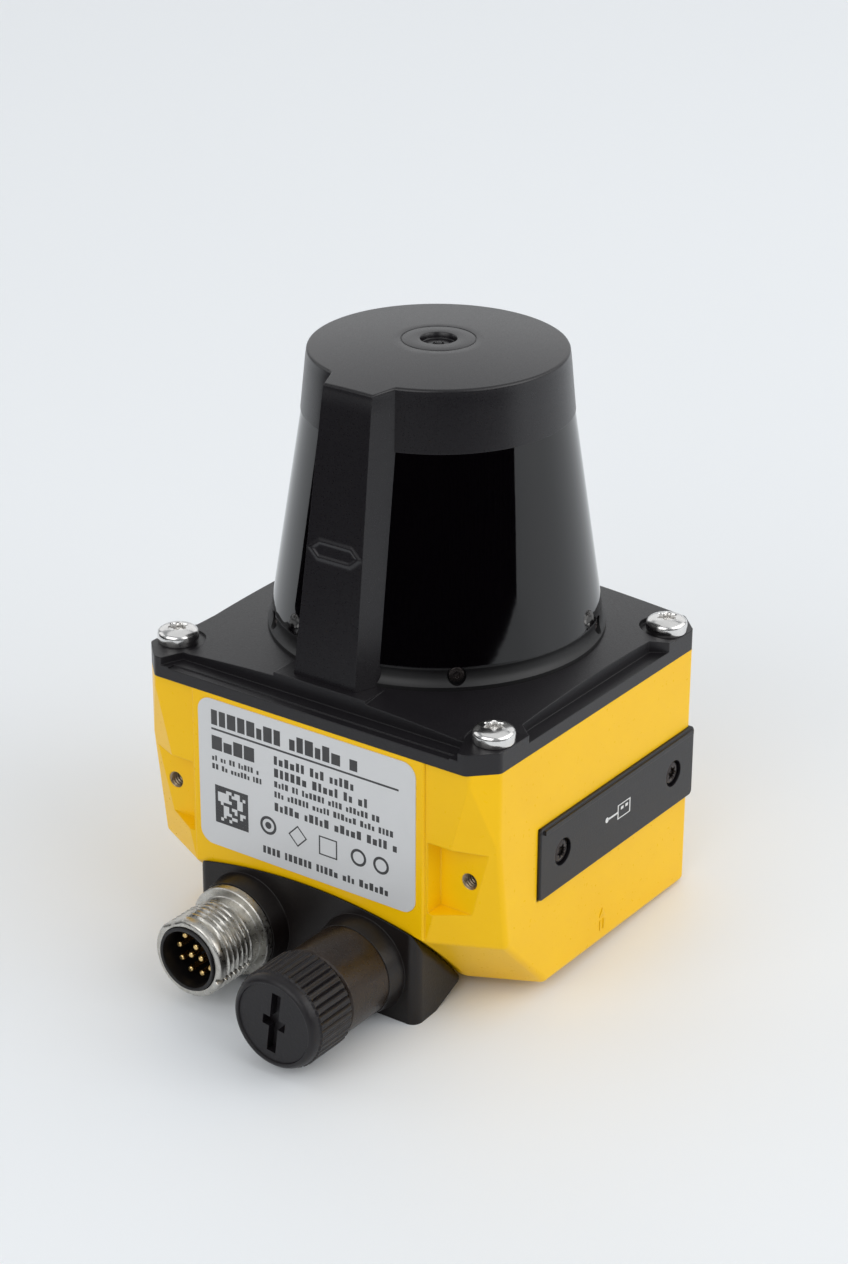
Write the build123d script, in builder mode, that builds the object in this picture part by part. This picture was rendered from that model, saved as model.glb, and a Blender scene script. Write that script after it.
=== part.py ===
from build123d import *
import math
import os

os.makedirs("parts", exist_ok=True)

# A compact scanning laser sensor. Sizes are in millimetres.
# The scan looks along -Y, the connectors leave at +Y and Z is up.
# The origin is the middle of the housing's flat underside.

# Housing casting
body_width = 61.0
body_depth = 56.5
body_height = 38.5
corner_cut = 3.5
wall = 2.6
boss_wall = 2.4
boss_extra = 3.0
floor_thickness = 2.4
edge_round = 1.1
panel_width = 40.6
panel_rise = 0.4
zone_drop = 12.5
zone_run = 9.9
zone_rise = 3.0
seat_offset = 17.3
seat_wall = 3.0
facet_lean = 0.5

# Fixing holes in the rear pockets
fixing_spacing = 52.0
fixing_height = 20.9
fixing_radius = 1.25
fixing_depth = 6.0
pocket_inner_x = 21.2
pocket_bottom = 15.8
pocket_top = 25.8
pocket_floor_depth = 2.85
pocket_draft = 12.0
pocket_shell = 2.0
fixing_cover = 1.4

# Cover plate and its screws
cover_edge = 3.1
cover_crown = 1.4
ledge_height = 1.95
rear_ledge_width = 3.35
side_ledge_width = 2.3
ledge_line = 1.25
ledge_step = 0.2
rear_ledge_half = 24.4
rear_ledge_splay = 1.8
side_ledge_half = 16.3
side_ledge_splay = 2.6
cone_foot_radius = 24.6
cone_rim_radius = 36.5
pad_half = 8.0
flex_slot_width = 6.0
flex_slot_depth = 1.0
cover_opening = 15.4
carrier_recess = 20.3
notch_width = 2.2
notch_depth = 0.5
gasket_thickness = 0.4
gasket_inset = 1.0
gasket_clearance = 0.2
cover_screw_play = 0.1
cover_screw_x = 27.5
cover_screw_y = 22.2
screw_radius = 1.5
screw_play = 0.02
screw_head_radius = 3.0
screw_head_side = 1.5
screw_head_height = 2.4
screw_pad_radius = 4.0
screw_length = 9.0
drive_radius = 1.35
drive_waist = 0.95
drive_depth = 1.0

# Hood: the black window cone and the frame of cap and pillar
hood_y = -3.3
total_height = 86.0
cap_crown = 1.1
cap_top_radius = 18.4
cap_bottom_radius = 19.4
cap_bottom_height = 76.0
cap_wall = 1.8
cap_roof = 2.2
window_foot_radius = 24.5
window_cone_radius = 23.9
window_cone_height = 46.0
window_wall = 1.7
window_lip = 3.0
window_step = 0.12
window_foot_inner = 22.1
window_foot_top = 47.5
window_flare = 0.45
window_lip_radius = 17.5
window_lip_wall = 0.9
lip_foot_height = 75.2
bond_gap = 0.03
cap_inner_radius = 17.55
cap_gap = 0.2
cap_edge_round = 0.5
foot_thickness = 0.6
disc_radius = 5.26
disc_line = 0.3
disc_line_depth = 0.25
recess_boss_radius = 1.2
recess_depth = 0.8
recess_radius = 2.6
pillar_bottom_out = 23.7
pillar_top_out = 17.9
pillar_bottom_half = 5.3
pillar_top_half = 4.1
pillar_flare = 1.65
pillar_bottom_in = 19.35
pillar_top_in = 13.6
scan_height = 61.7
mark_length = 8.0
mark_height = 2.3
mark_line = 0.45
mark_depth = 0.2
channel_offset = 1.9
hood_screw_height = 45.1
hood_screw_radius = 1.2
hood_shank_radius = 0.8
hood_screw_seat = 23.2
hood_screw_head = 0.9
hood_screw_play = 0.15
hood_screw_tip = 20.7
hood_screw_angles = [48, 132, 200, 270, 340]
hood_seal_inner = 22.7
hood_seal_outer = 23.7
hood_seal_depth = 0.8
upstand_radius = 21.9
upstand_wall = 1.5
upstand_height = 4.3

# Scanning motor and mirror
shaft_radius = 1.0
bearing_radius = 3.0
bearing_length = 2.3
running_gap = 0.02
motor_tube_radius = 4.0
motor_flange_radius = 13.5
motor_flange = 1.0
motor_tube_length = 9.2
stator_radius = 9.6
stator_length = 4.0
stator_teeth = 9
air_gap = 0.5
magnet_wall = 1.3
cup_wall = 0.8
cup_gap = 0.4
cup_rim = 80.4
motor_seat_radius = 16.6
motor_screw_circle = 12.1
motor_screw_radius = 0.8
motor_screw_play = 0.1
motor_screw_grip = 1.2
motor_screw_head = 0.8
motor_screw_head_radius = 1.4
bearing_shoulder = 2.3
shaft_bottom = 69.0
stator_hub_radius = 5.4
tooth_width = 1.3
tooth_tip = 0.8
tooth_tip_width = 4.6
winding_gap = 0.3
winding_thickness = 0.5
mirror_radius = 10.6
mirror_thickness = 1.4
encoder_radius = 16.0
encoder_slots = 24
encoder_thickness = 0.6
encoder_slot_circle = 14.5
encoder_slot_length = 1.8
encoder_slot_width = 1.3
mirror_inset = 0.15
fork_width = 6.0
fork_front = 10.9
fork_stem_back = 12.9
fork_slot_back = 13.1
fork_back = 14.0
fork_bottom = 69.6
fork_shoulder = 74.6
fork_gap = 0.5

# Receiving optics
carrier_flange_radius = 20.2
carrier_flange = 1.6
carrier_seat = 2.5
barrel_radius = 15.0
barrel_wall = 1.6
barrel_top = 50.0
barrel_bottom = 27.0
lens_height = 46.0
lens_edge = 1.2
lens_crown = 2.3
laser_radius = 3.2
laser_bottom = 40.5
laser_top = 51.2
detector_radius = 2.6
detector_height = 2.5
lens_ledge = 1.1
lens_radius = 13.35
laser_base_radius = 2.6
laser_aperture = 1.2
carrier_screw_circle = 17.7
carrier_screw_radius = 1.0
carrier_screw_depth = 2.0
carrier_head_radius = 1.7
carrier_head_height = 1.0

# Circuit boards
board_thickness = 1.6
board_width = 50.0
board_depth = 38.0
board_y = -4.0
board_height = 16.4
post_radius = 2.5
post_x = 21.0
post_y = 15.0
flex_width = 5.0
flex_thickness = 0.3
channel_width = 5.8
channel_depth = 1.0
channel_mouth = 81.0
flex_socket_y = 13.2
flex_socket_depth = 2.6
flex_socket_height = 2.6
board_screw_radius = 0.9
board_screw_length = 6.0
board_head_radius = 1.8
board_head_height = 1.2
processor_size = 12.0
processor_height = 1.3
processor_shift = 11.0
header_shift = 8.0
header_length = 10.0
header_width = 3.0

# Service port on the left wall
port_y = -5.1
port_height = 20.3
port_cover_length = 41.0
port_cover_height = 11.4
port_cover_thickness = 1.5
port_cover_proud = 0.5
port_seal = 0.4
port_lip = 0.35
port_screw_spacing = 29.6
port_screw_radius = 0.8
port_head_radius = 1.7
port_head_recess = 0.9
socket_width = 7.6
socket_height = 2.8
socket_depth = 5.4
socket_shell = 0.35
port_boss_wall = 1.4
port_screw_length = 5.0
port_boss_end = 1.0
port_clearance = 1.4
port_corner = 0.8
port_edge_round = 0.3
port_lip_height = 0.7
port_well_radius = 2.05
port_head_height = 0.7

# Status lights in the front wall
light_radius = 1.3
light_spacing = 9.0
light_height = 33.5
light_length = 4.2
light_proud = 0.1
light_board_width = 16.0
light_board_height = 7.0

# Rear label
label_width = 38.0
label_height = 23.2
label_bottom = 14.6
label_corner = 2.2
label_thickness = 0.15

# Swivelling connector unit
dish_radius = 110.0
dish_depth = 2.0
swivel_gap = 0.15
block_width = 39.0
block_rear = 28.8
block_bottom = -3.0
block_round = 1.6
journal_radius = 6.6
journal_bore = 4.2
journal_play = 0.06
journal_tail = 2.4
seal_width = 1.2
seal_depth = 0.8
clip_thickness = 0.85
clip_radius = 8.2
clip_groove = 0.6
connector_spacing = 20.4
connector_height = 4.4
boss_radius = 7.4
boss_neck = 6.95
boss_end = 31.8
block_run = 5.0
block_flat = 4.3
tail_radius = 5.3
tail_end = 25.4
wire_room = 5.0
pin_radius = 0.5
clip_opening = 5.0
clip_play = 0.05

# Signal connector with external thread
shell_radius = 6.0
shell_mouth = 43.0
shell_mouth_bevel = 0.6
shell_root_radius = 5.45
shell_root_length = 1.6
shell_flange_radius = 6.8
shell_flange = 1.4
shell_bore = 4.9
shell_flat = 5.55
insert_wall = 0.45
insert_floor = 36.0
pin_circle = 3.05
pin_inner_circle = 1.05
pin_length = 5.0
insert_set_back = 0.6
key_width = 0.9
key_depth = 0.5

# Socket under the screwed plug
sleeve_radius = 6.85
sleeve_end = 40.3
sleeve_bore = 5.5
socket_insert_radius = 4.2
socket_insert_end = 37.0
contact_circle = 2.2
plug_radius = 7.4
plug_face = 49.3
plug_gap = 0.45
plug_ridges = 28
ridge_depth = 0.4
plug_rim = 0.5
plug_face_radius = 5.9
plug_slot_length = 9.4
plug_slot_width = 1.5
plug_slot_depth = 1.4
plug_cross_length = 3.8
plug_stem = 7.0
plug_stem_play = 0.05
ridge_width = 0.75
stem_bore = 4.55
stem_pocket = 0.5
groove_radius = 6.55
plug_seal_width = 1.2
plug_seal_proud = 0.42
sleeve_edge = 0.3
harness_radius = 1.8
harness_socket_y = 9.0
harness_socket_length = 12.0
harness_socket_width = 4.0
harness_socket_height = 4.4

# Places that follow from the sizes above
half_width = body_width / 2
pocket_middle = (pocket_bottom + pocket_top) / 2
pocket_height = pocket_top - pocket_bottom
port_recess = port_seal + port_cover_thickness - port_cover_proud
half_depth = body_depth / 2
rear_face = half_depth
zone_face = half_depth - panel_rise
pocket_floor = half_depth - pocket_floor_depth
cover_top = body_height + cover_edge
hood_seat = cover_top + cover_crown
board_top = board_height + board_thickness
socket_middle = board_top + socket_height / 2
rear_ledge_wall = half_depth - rear_ledge_width
side_ledge_wall = half_width - side_ledge_width
carrier_bottom = body_height + carrier_seat
barrel_inner = barrel_radius - barrel_wall
seat_middle_y = (rear_face + seat_offset) / 2
seat_middle_z = seat_middle_y - seat_offset
dish_wall = dish_depth + seat_wall
inner_offset = seat_offset - dish_wall * math.sqrt(2)
cap_inner_top = total_height - cap_roof
cap_rim = total_height - cap_crown
motor_top = cap_inner_top - motor_flange
motor_bottom = motor_top - motor_tube_length
cup_top = motor_bottom - cup_gap
holder_seat = cup_top - cup_wall
holder_top = holder_seat - encoder_thickness
magnet_radius = stator_radius + air_gap
cup_inner = magnet_radius + magnet_wall
cup_radius = cup_inner + cup_wall
stator_bottom = motor_bottom + bearing_length
stem_radius = sleeve_bore - plug_stem_play
plug_back = sleeve_end + plug_gap
seal_top = -dish_depth - (seat_wall - seal_width) / 2
clip_top = -dish_wall - clip_play
clip_bottom = clip_top - clip_thickness - clip_play
block_slope = -block_bottom / (block_rear - block_flat - seat_offset)
pillar_top = cap_rim - cap_gap
pillar_lean = (pillar_bottom_in - pillar_top_in) / (pillar_top - hood_seat)
mark_y = pillar_bottom_out - (pillar_bottom_out - pillar_top_out) * (scan_height - hood_seat) / (
    pillar_top - hood_seat
)
mark_lean = (pillar_bottom_out - pillar_top_out) / (pillar_top - hood_seat)
flex_slot_y = pillar_bottom_in + channel_offset
flex_top_y = flex_slot_y - pillar_lean * (channel_mouth - hood_seat)
cone_slope = (window_cone_radius - cap_bottom_radius) / (cap_bottom_height - window_cone_height)

hood_axis = Axis((0, hood_y, 0), (0, 0, 1))
hood_section = Plane(origin=(0, hood_y, 0), x_dir=(1, 0, 0), z_dir=(0, -1, 0))
swivel_point = Vector(0, seat_middle_y, seat_middle_z)
swivel_direction = Vector(0, 1, -1).normalized()
swivel_axis = Axis(swivel_point, swivel_direction)
swivel_section = Plane(origin=swivel_point, x_dir=(1, 0, 0), z_dir=(0, 1, 1))
seat_plane = Plane(origin=(0, seat_offset, 0), z_dir=(0, 1, -1))
dish_center = swivel_point + swivel_direction * (dish_radius - dish_depth)
scan_mark_plane = Plane(origin=(0, mark_y, scan_height), x_dir=(-1, 0, 0), z_dir=(0, 1, mark_lean))
channel_points = [
    (flex_slot_y, hood_seat - 1),
    (flex_slot_y, hood_seat),
    (flex_top_y, channel_mouth),
    (fork_stem_back, channel_mouth),
]
flex_points = [
    (flex_socket_y, board_top + flex_socket_height),
    (flex_socket_y, board_top + 2 * flex_socket_height),
    (flex_slot_y, body_height - wall),
    (flex_slot_y, hood_seat),
    (flex_top_y, channel_mouth),
    (fork_stem_back, channel_mouth),
]
cover_screw_places = [
    (sx * cover_screw_x, sy * cover_screw_y) for sx in (-1, 1) for sy in (-1, 1)
]
post_places = [(sx * post_x, board_y + sy * post_y) for sx in (-1, 1) for sy in (-1, 1)]
port_screw_places = [port_y - port_screw_spacing / 2, port_y + port_screw_spacing / 2]


def cone_radius(height):
    """Outer radius of the hood's cone at a height above the foot."""
    return cap_bottom_radius + cone_slope * (cap_bottom_height - height)


def side_plane(x, y, z):
    """A plane at x whose normal points out of the left wall."""
    return Plane(origin=(x, y, z), x_dir=(0, -1, 0), z_dir=(-1, 0, 0))


def rear_plane(x, y, z):
    """A plane at y whose normal points out of the rear, with Z upward."""
    return Plane(origin=(x, y, z), x_dir=(-1, 0, 0), z_dir=(0, 1, 0))


def connector_section(x):
    """A section plane along a connector: local X is the radius, local Y runs out."""
    return Plane(origin=(x, 0, connector_height))


def connector_axis(x):
    return Axis((x, 0, connector_height), (0, 1, 0))


signal_x = connector_spacing / 2
socket_x = -connector_spacing / 2


def body_outline(inset):
    """The housing's square outline with its four cut corners, drawn in by inset."""
    with BuildSketch(mode=Mode.PRIVATE) as outline:
        Rectangle(body_width - 2 * inset, body_depth - 2 * inset)
        chamfer(outline.vertices(), corner_cut - inset * (2 - math.sqrt(2)))
    return outline.sketch


def screw_bosses():
    """Plan of the four corner bosses that take the cover screws."""
    with BuildSketch(mode=Mode.PRIVATE) as bosses:
        with Locations(*cover_screw_places):
            Circle(screw_radius + 2.4)
    return bosses.sketch


def hood_screw_plane(angle):
    """The seat under a radial screw head, its normal pointing away from the hood axis."""
    out = Vector(math.cos(math.radians(angle)), math.sin(math.radians(angle)), 0)
    seat = Vector(0, hood_y, hood_screw_height) + out * hood_screw_seat
    return Plane(origin=seat, x_dir=(0, 0, 1), z_dir=out)


def drive_star(outer, waist):
    """Six-lobed screw recess."""
    with BuildSketch(mode=Mode.PRIVATE) as star:
        with BuildLine():
            Polyline(
                *[
                    (
                        (outer if i % 2 == 0 else waist) * math.cos(math.radians(30 * i)),
                        (outer if i % 2 == 0 else waist) * math.sin(math.radians(30 * i)),
                    )
                    for i in range(12)
                ],
                close=True,
            )
        make_face()
    return star.sketch


def pillar_outline(out_y, half, in_y, grow):
    """Level section of the pillar, wider at the window than at its outer face."""
    with BuildSketch(mode=Mode.PRIVATE) as outline:
        with BuildLine():
            Polyline(
                (-half - grow, out_y + grow),
                (half + grow, out_y + grow),
                (half + pillar_flare + grow, in_y - grow),
                (-half - pillar_flare - grow, in_y - grow),
                close=True,
            )
        make_face()
    return outline.sketch


def strip_outline(points, thickness):
    """Outline of a thin strip that follows a chain of points in the plane."""
    left = []
    right = []
    last = len(points) - 1
    for i, point in enumerate(points):
        before = points[max(i - 1, 0)]
        after = points[min(i + 1, last)]
        run_in = (point[0] - before[0], point[1] - before[1])
        run_out = (after[0] - point[0], after[1] - point[1])
        if i == 0:
            run_in = run_out
        if i == last:
            run_out = run_in
        length_in = math.hypot(*run_in)
        length_out = math.hypot(*run_out)
        normal_in = (-run_in[1] / length_in, run_in[0] / length_in)
        normal_out = (-run_out[1] / length_out, run_out[0] / length_out)
        cosine = normal_in[0] * normal_out[0] + normal_in[1] * normal_out[1]
        scale = thickness / 2 / (1 + cosine)
        shift = ((normal_in[0] + normal_out[0]) * scale, (normal_in[1] + normal_out[1]) * scale)
        left.append((point[0] + shift[0], point[1] + shift[1]))
        right.append((point[0] - shift[0], point[1] - shift[1]))
    return left + right[::-1]


def hexagon_points(inset):
    """Corners of the long hexagon that marks the scan plane."""
    half_long = mark_length / 2 - inset * math.sqrt(2)
    half_high = mark_height / 2 - inset
    return [
        (-half_long, 0),
        (-half_long + half_high, half_high),
        (half_long - half_high, half_high),
        (half_long, 0),
        (half_long - half_high, -half_high),
        (-half_long + half_high, -half_high),
    ]


# The room inside the housing
with BuildPart() as cavity:
    with BuildSketch(Plane.XY.offset(floor_thickness)):
        add(body_outline(wall))
    extrude(amount=body_height - floor_thickness)
    split(
        bisect_by=Plane(origin=(0, inner_offset, 0), z_dir=(0, 1, -1)),
        keep=Keep.BOTTOM,
    )
    with BuildSketch(Plane.XY.offset(body_height)):
        add(screw_bosses())
    extrude(amount=-(screw_length + boss_extra), mode=Mode.SUBTRACT)
    with BuildSketch(Plane.XY.offset(floor_thickness)):
        with Locations(*post_places):
            Circle(post_radius)
    extrude(amount=board_height - floor_thickness, mode=Mode.SUBTRACT)
    for side in (-1, 1):
        pocket_back = pocket_floor - fixing_depth - fixing_cover
        with BuildSketch(rear_plane(side * half_width, pocket_back, pocket_middle)):
            Rectangle(2 * (half_width - pocket_inner_x + wall), pocket_height + 2 * pocket_shell)
        extrude(amount=half_depth, mode=Mode.SUBTRACT)
    for y in port_screw_places:
        with BuildSketch(side_plane(-half_width, y, port_height)):
            Circle(port_screw_radius + port_boss_wall)
        extrude(amount=-port_screw_length - port_boss_end, mode=Mode.SUBTRACT)

# The raised field on the rear that carries the label
with BuildPart() as label_panel:
    with BuildSketch(Plane.XZ.offset(-zone_face + wall / 2)):
        with Locations((0, body_height / 2)):
            Rectangle(panel_width, body_height)
    extrude(amount=-panel_rise - wall / 2)
    split(bisect_by=seat_plane, keep=Keep.BOTTOM)
    panel_rim = label_panel.edges().filter_by(Axis.Z).group_by(Axis.Y)[-1]
    fillet(panel_rim, panel_rise * 0.9)

with BuildPart() as housing:
    with BuildSketch():
        add(body_outline(0))
    extrude(amount=body_height)
    with BuildSketch(Plane.XZ.offset(-rear_face)):
        Rectangle(3 * body_width, 3 * body_height)
    extrude(amount=panel_rise, mode=Mode.SUBTRACT)
    for side in (-1, 1):
        zone_point = Vector(side * half_width, half_depth - corner_cut, body_height - zone_drop)
        zone_top = Vector(side * (half_width - corner_cut), half_depth, body_height)
        zone_foot = Vector(side * (half_width - zone_run), half_depth, seat_offset - zone_rise)
        zone_normal = (zone_top - zone_point).cross(zone_foot - zone_point)
        if zone_normal.Y < 0:
            zone_normal = zone_normal * -1
        split(bisect_by=Plane(origin=zone_point, z_dir=zone_normal), keep=Keep.BOTTOM)
    upright = housing.edges().filter_by(
        lambda e: abs(e.tangent_at(0.5).Z) > 0.8
        and abs(e.center().X) > half_width - 2 * corner_cut
    )
    fillet(upright, edge_round)
    split(bisect_by=seat_plane, keep=Keep.BOTTOM)
    for side in (-1, 1):
        facet_origin = (side * panel_width / 2, seat_offset, 0)
        split(
            bisect_by=Plane(origin=facet_origin, z_dir=(side * facet_lean, 1, -1)),
            keep=Keep.BOTTOM,
        )
    low_rear = housing.edges().filter_by(
        lambda e: e.center().Y > seat_offset / 2
        and edge_round < e.center().Z < body_height / 2
    )
    crest = low_rear.filter_by(lambda e: abs(e.tangent_at(0.5).X) > 0.7)
    folds = low_rear.filter_by(
        lambda e: abs(e.tangent_at(0.5).Y) > 0.5 and abs(e.tangent_at(0.5).Z) > 0.5
    )
    fillet(crest + folds + housing.edges().group_by(Axis.Z)[0], edge_round)
    add(label_panel.part)
    add(cavity.part, mode=Mode.SUBTRACT)
    with Locations(dish_center):
        Sphere(dish_radius, mode=Mode.SUBTRACT)
    with BuildSketch(swivel_section):
        with BuildLine():
            Polyline(
                (0, 0),
                (journal_radius + journal_play, 0),
                (journal_radius + journal_play, -dish_wall - boss_extra),
                (0, -dish_wall - boss_extra),
                close=True,
            )
        make_face()
    revolve(axis=swivel_axis, mode=Mode.SUBTRACT)
    for side in (-1, 1):
        with BuildSketch(rear_plane(side * half_width, pocket_floor, pocket_middle)):
            Rectangle(2 * (half_width - pocket_inner_x), pocket_height)
        extrude(amount=pocket_floor_depth + 1, taper=-pocket_draft, mode=Mode.SUBTRACT)
        with BuildSketch(rear_plane(side * fixing_spacing / 2, pocket_floor, fixing_height)):
            Circle(fixing_radius)
        extrude(amount=-fixing_depth, mode=Mode.SUBTRACT)
    with BuildSketch(Plane.XY.offset(body_height)):
        with Locations(*cover_screw_places):
            Circle(screw_radius + screw_play)
    extrude(amount=-screw_length, mode=Mode.SUBTRACT)
    with BuildSketch(Plane.XY.offset(board_height)):
        with Locations(*post_places):
            Circle(board_screw_radius + screw_play)
    extrude(amount=-board_screw_length, mode=Mode.SUBTRACT)
    with BuildSketch(Plane.XY.offset(body_height - gasket_thickness)):
        add(body_outline(gasket_inset))
    extrude(amount=gasket_thickness, mode=Mode.SUBTRACT)
    with BuildSketch(side_plane(-half_width, port_y, port_height)):
        Rectangle(port_cover_length, port_cover_height)
    extrude(amount=-port_recess, mode=Mode.SUBTRACT)
    with BuildSketch(side_plane(-half_width, port_y, socket_middle)):
        Rectangle(socket_width + port_clearance, socket_height + port_clearance)
    extrude(amount=-wall - 1, mode=Mode.SUBTRACT)
    for y in port_screw_places:
        with BuildSketch(side_plane(-half_width, y, port_height)):
            Circle(port_screw_radius + screw_play)
        extrude(amount=-port_screw_length, mode=Mode.SUBTRACT)
    with BuildSketch(Plane.XZ.offset(half_depth)):
        with Locations((0, light_height)):
            with GridLocations(light_spacing, 1, 2, 1):
                Circle(light_radius)
    extrude(amount=-wall - 1, mode=Mode.SUBTRACT)

housing.part.label = "housing"
export_step(housing.part, "parts/housing.step")

with BuildPart() as cover_gasket:
    with BuildSketch(Plane.XY.offset(body_height - gasket_thickness)):
        add(body_outline(gasket_inset + screw_play))
        add(body_outline(wall), mode=Mode.SUBTRACT)
        with Locations(*cover_screw_places):
            Circle(screw_radius + gasket_clearance, mode=Mode.SUBTRACT)
    extrude(amount=gasket_thickness)

cover_gasket.part.label = "cover_gasket"
export_step(cover_gasket.part, "parts/cover_gasket.step")

# Low cone that lifts the hood above the corner pads
with BuildPart() as cover_cone:
    with BuildSketch(hood_section):
        with BuildLine():
            Polyline(
                (0, body_height + wall),
                (0, hood_seat),
                (cone_foot_radius, hood_seat),
                (cone_rim_radius, cover_top),
                (cone_rim_radius, body_height + wall),
                close=True,
            )
        make_face()
    revolve(axis=hood_axis)
    with BuildSketch(Plane.XY.offset(hood_seat)):
        with Locations((0, rear_ledge_wall / 2)):
            Rectangle(2 * pad_half, rear_ledge_wall)
    extrude(amount=-cover_crown)
    with BuildSketch(Plane.XY.offset(body_height)):
        add(body_outline(0))
    extrude(amount=2 * cover_edge, mode=Mode.INTERSECT)

with BuildPart() as cover_plate:
    with BuildSketch(Plane.XY.offset(body_height)):
        add(body_outline(0))
    extrude(amount=cover_edge)
    plate_uprights = cover_plate.edges().filter_by(Axis.Z)
    fillet(plate_uprights, edge_round)
    add(cover_cone.part)
    with BuildSketch(Plane.XY.offset(cover_top)):
        with Locations(*cover_screw_places):
            Circle(screw_pad_radius)
    extrude(amount=cover_edge, mode=Mode.SUBTRACT)
    ledge_top = body_height + ledge_height
    with BuildSketch(Plane.XY.offset(ledge_top)):
        with BuildLine():
            Polyline(
                (-rear_ledge_half, rear_ledge_wall),
                (rear_ledge_half, rear_ledge_wall),
                (rear_ledge_half + rear_ledge_splay, half_depth + 1),
                (-rear_ledge_half - rear_ledge_splay, half_depth + 1),
                close=True,
            )
        make_face()
        for side in (-1, 1):
            with BuildLine():
                Polyline(
                    (side * side_ledge_wall, -side_ledge_half),
                    (side * side_ledge_wall, side_ledge_half),
                    (side * (half_width + 1), side_ledge_half + side_ledge_splay),
                    (side * (half_width + 1), -side_ledge_half - side_ledge_splay),
                    close=True,
                )
            make_face()
    extrude(amount=2 * cover_edge, mode=Mode.SUBTRACT)
    with BuildSketch(Plane.XY.offset(ledge_top - ledge_step)):
        with Locations((0, half_depth)):
            Rectangle(2 * rear_ledge_half, 2 * ledge_line)
    extrude(amount=ledge_step, mode=Mode.SUBTRACT)
    with BuildSketch(hood_section):
        with BuildLine():
            Polyline(
                (0, body_height),
                (cover_opening, body_height),
                (cover_opening, body_height + carrier_seat),
                (carrier_recess, body_height + carrier_seat),
                (carrier_recess, total_height),
                (0, total_height),
                close=True,
            )
        make_face()
    revolve(axis=hood_axis, mode=Mode.SUBTRACT)
    with BuildSketch(hood_section):
        with BuildLine():
            Polyline(
                (hood_seal_inner, hood_seat - hood_seal_depth),
                (hood_seal_outer, hood_seat - hood_seal_depth),
                (hood_seal_outer, hood_seat + 1),
                (hood_seal_inner, hood_seat + 1),
                close=True,
            )
        make_face()
    revolve(axis=hood_axis, mode=Mode.SUBTRACT)
    with BuildSketch(hood_section):
        with BuildLine():
            Polyline(
                (upstand_radius - upstand_wall, hood_seat - 1),
                (upstand_radius, hood_seat - 1),
                (upstand_radius, hood_seat + upstand_height),
                (upstand_radius - upstand_wall, hood_seat + upstand_height),
                close=True,
            )
        make_face()
    revolve(axis=hood_axis)
    for angle in hood_screw_angles:
        with BuildSketch(hood_screw_plane(angle)):
            Circle(hood_shank_radius + screw_play)
        extrude(amount=-upstand_wall - hood_screw_tip / 4, mode=Mode.SUBTRACT)
    with BuildSketch(Plane.XY.offset(body_height)):
        with Locations(*cover_screw_places):
            Circle(screw_radius + cover_screw_play)
        with Locations((0, flex_slot_y)):
            Rectangle(flex_slot_width, flex_slot_depth)
    extrude(amount=2 * cover_edge, mode=Mode.SUBTRACT)
    with BuildSketch(Plane.XY.offset(body_height + carrier_seat)):
        with Locations((0, hood_y)):
            with PolarLocations(carrier_screw_circle, 3, 30):
                Circle(carrier_screw_radius + screw_play)
    extrude(amount=-carrier_screw_depth, mode=Mode.SUBTRACT)

cover_plate.part.label = "cover_plate"
export_step(cover_plate.part, "parts/cover_plate.step")

with BuildPart() as cover_screws:
    for x, y in cover_screw_places:
        with BuildSketch(Plane(origin=(x, y, cover_top), x_dir=(1, 0, 0), z_dir=(0, -1, 0))):
            with BuildLine():
                Polyline((screw_head_radius, screw_head_side), (screw_head_radius, 0), (screw_radius, 0))
                Polyline((screw_radius, 0), (screw_radius, -cover_edge - screw_length), (0, -cover_edge - screw_length))
                Line((0, -cover_edge - screw_length), (0, screw_head_height))
                ThreePointArc(
                    (0, screw_head_height),
                    (screw_head_radius * 0.7, screw_head_side + (screw_head_height - screw_head_side) * 0.6),
                    (screw_head_radius, screw_head_side),
                )
            make_face()
        revolve(axis=Axis((x, y, 0), (0, 0, 1)))
        with BuildSketch(Plane(origin=(x, y, cover_top + screw_head_height - drive_depth))):
            add(drive_star(drive_radius, drive_waist))
        extrude(amount=screw_head_height, mode=Mode.SUBTRACT)

cover_screws.part.label = "cover_screws"
export_step(cover_screws.part, "parts/cover_screws.step")

with BuildPart() as hood_seal:
    with BuildSketch(hood_section):
        with BuildLine():
            Polyline(
                (hood_seal_inner + running_gap, hood_seat - hood_seal_depth),
                (hood_seal_outer - running_gap, hood_seat - hood_seal_depth),
                (hood_seal_outer - running_gap, hood_seat),
                (hood_seal_inner + running_gap, hood_seat),
                close=True,
            )
        make_face()
    revolve(axis=hood_axis)

hood_seal.part.label = "hood_seal"
export_step(hood_seal.part, "parts/hood_seal.step")

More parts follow.
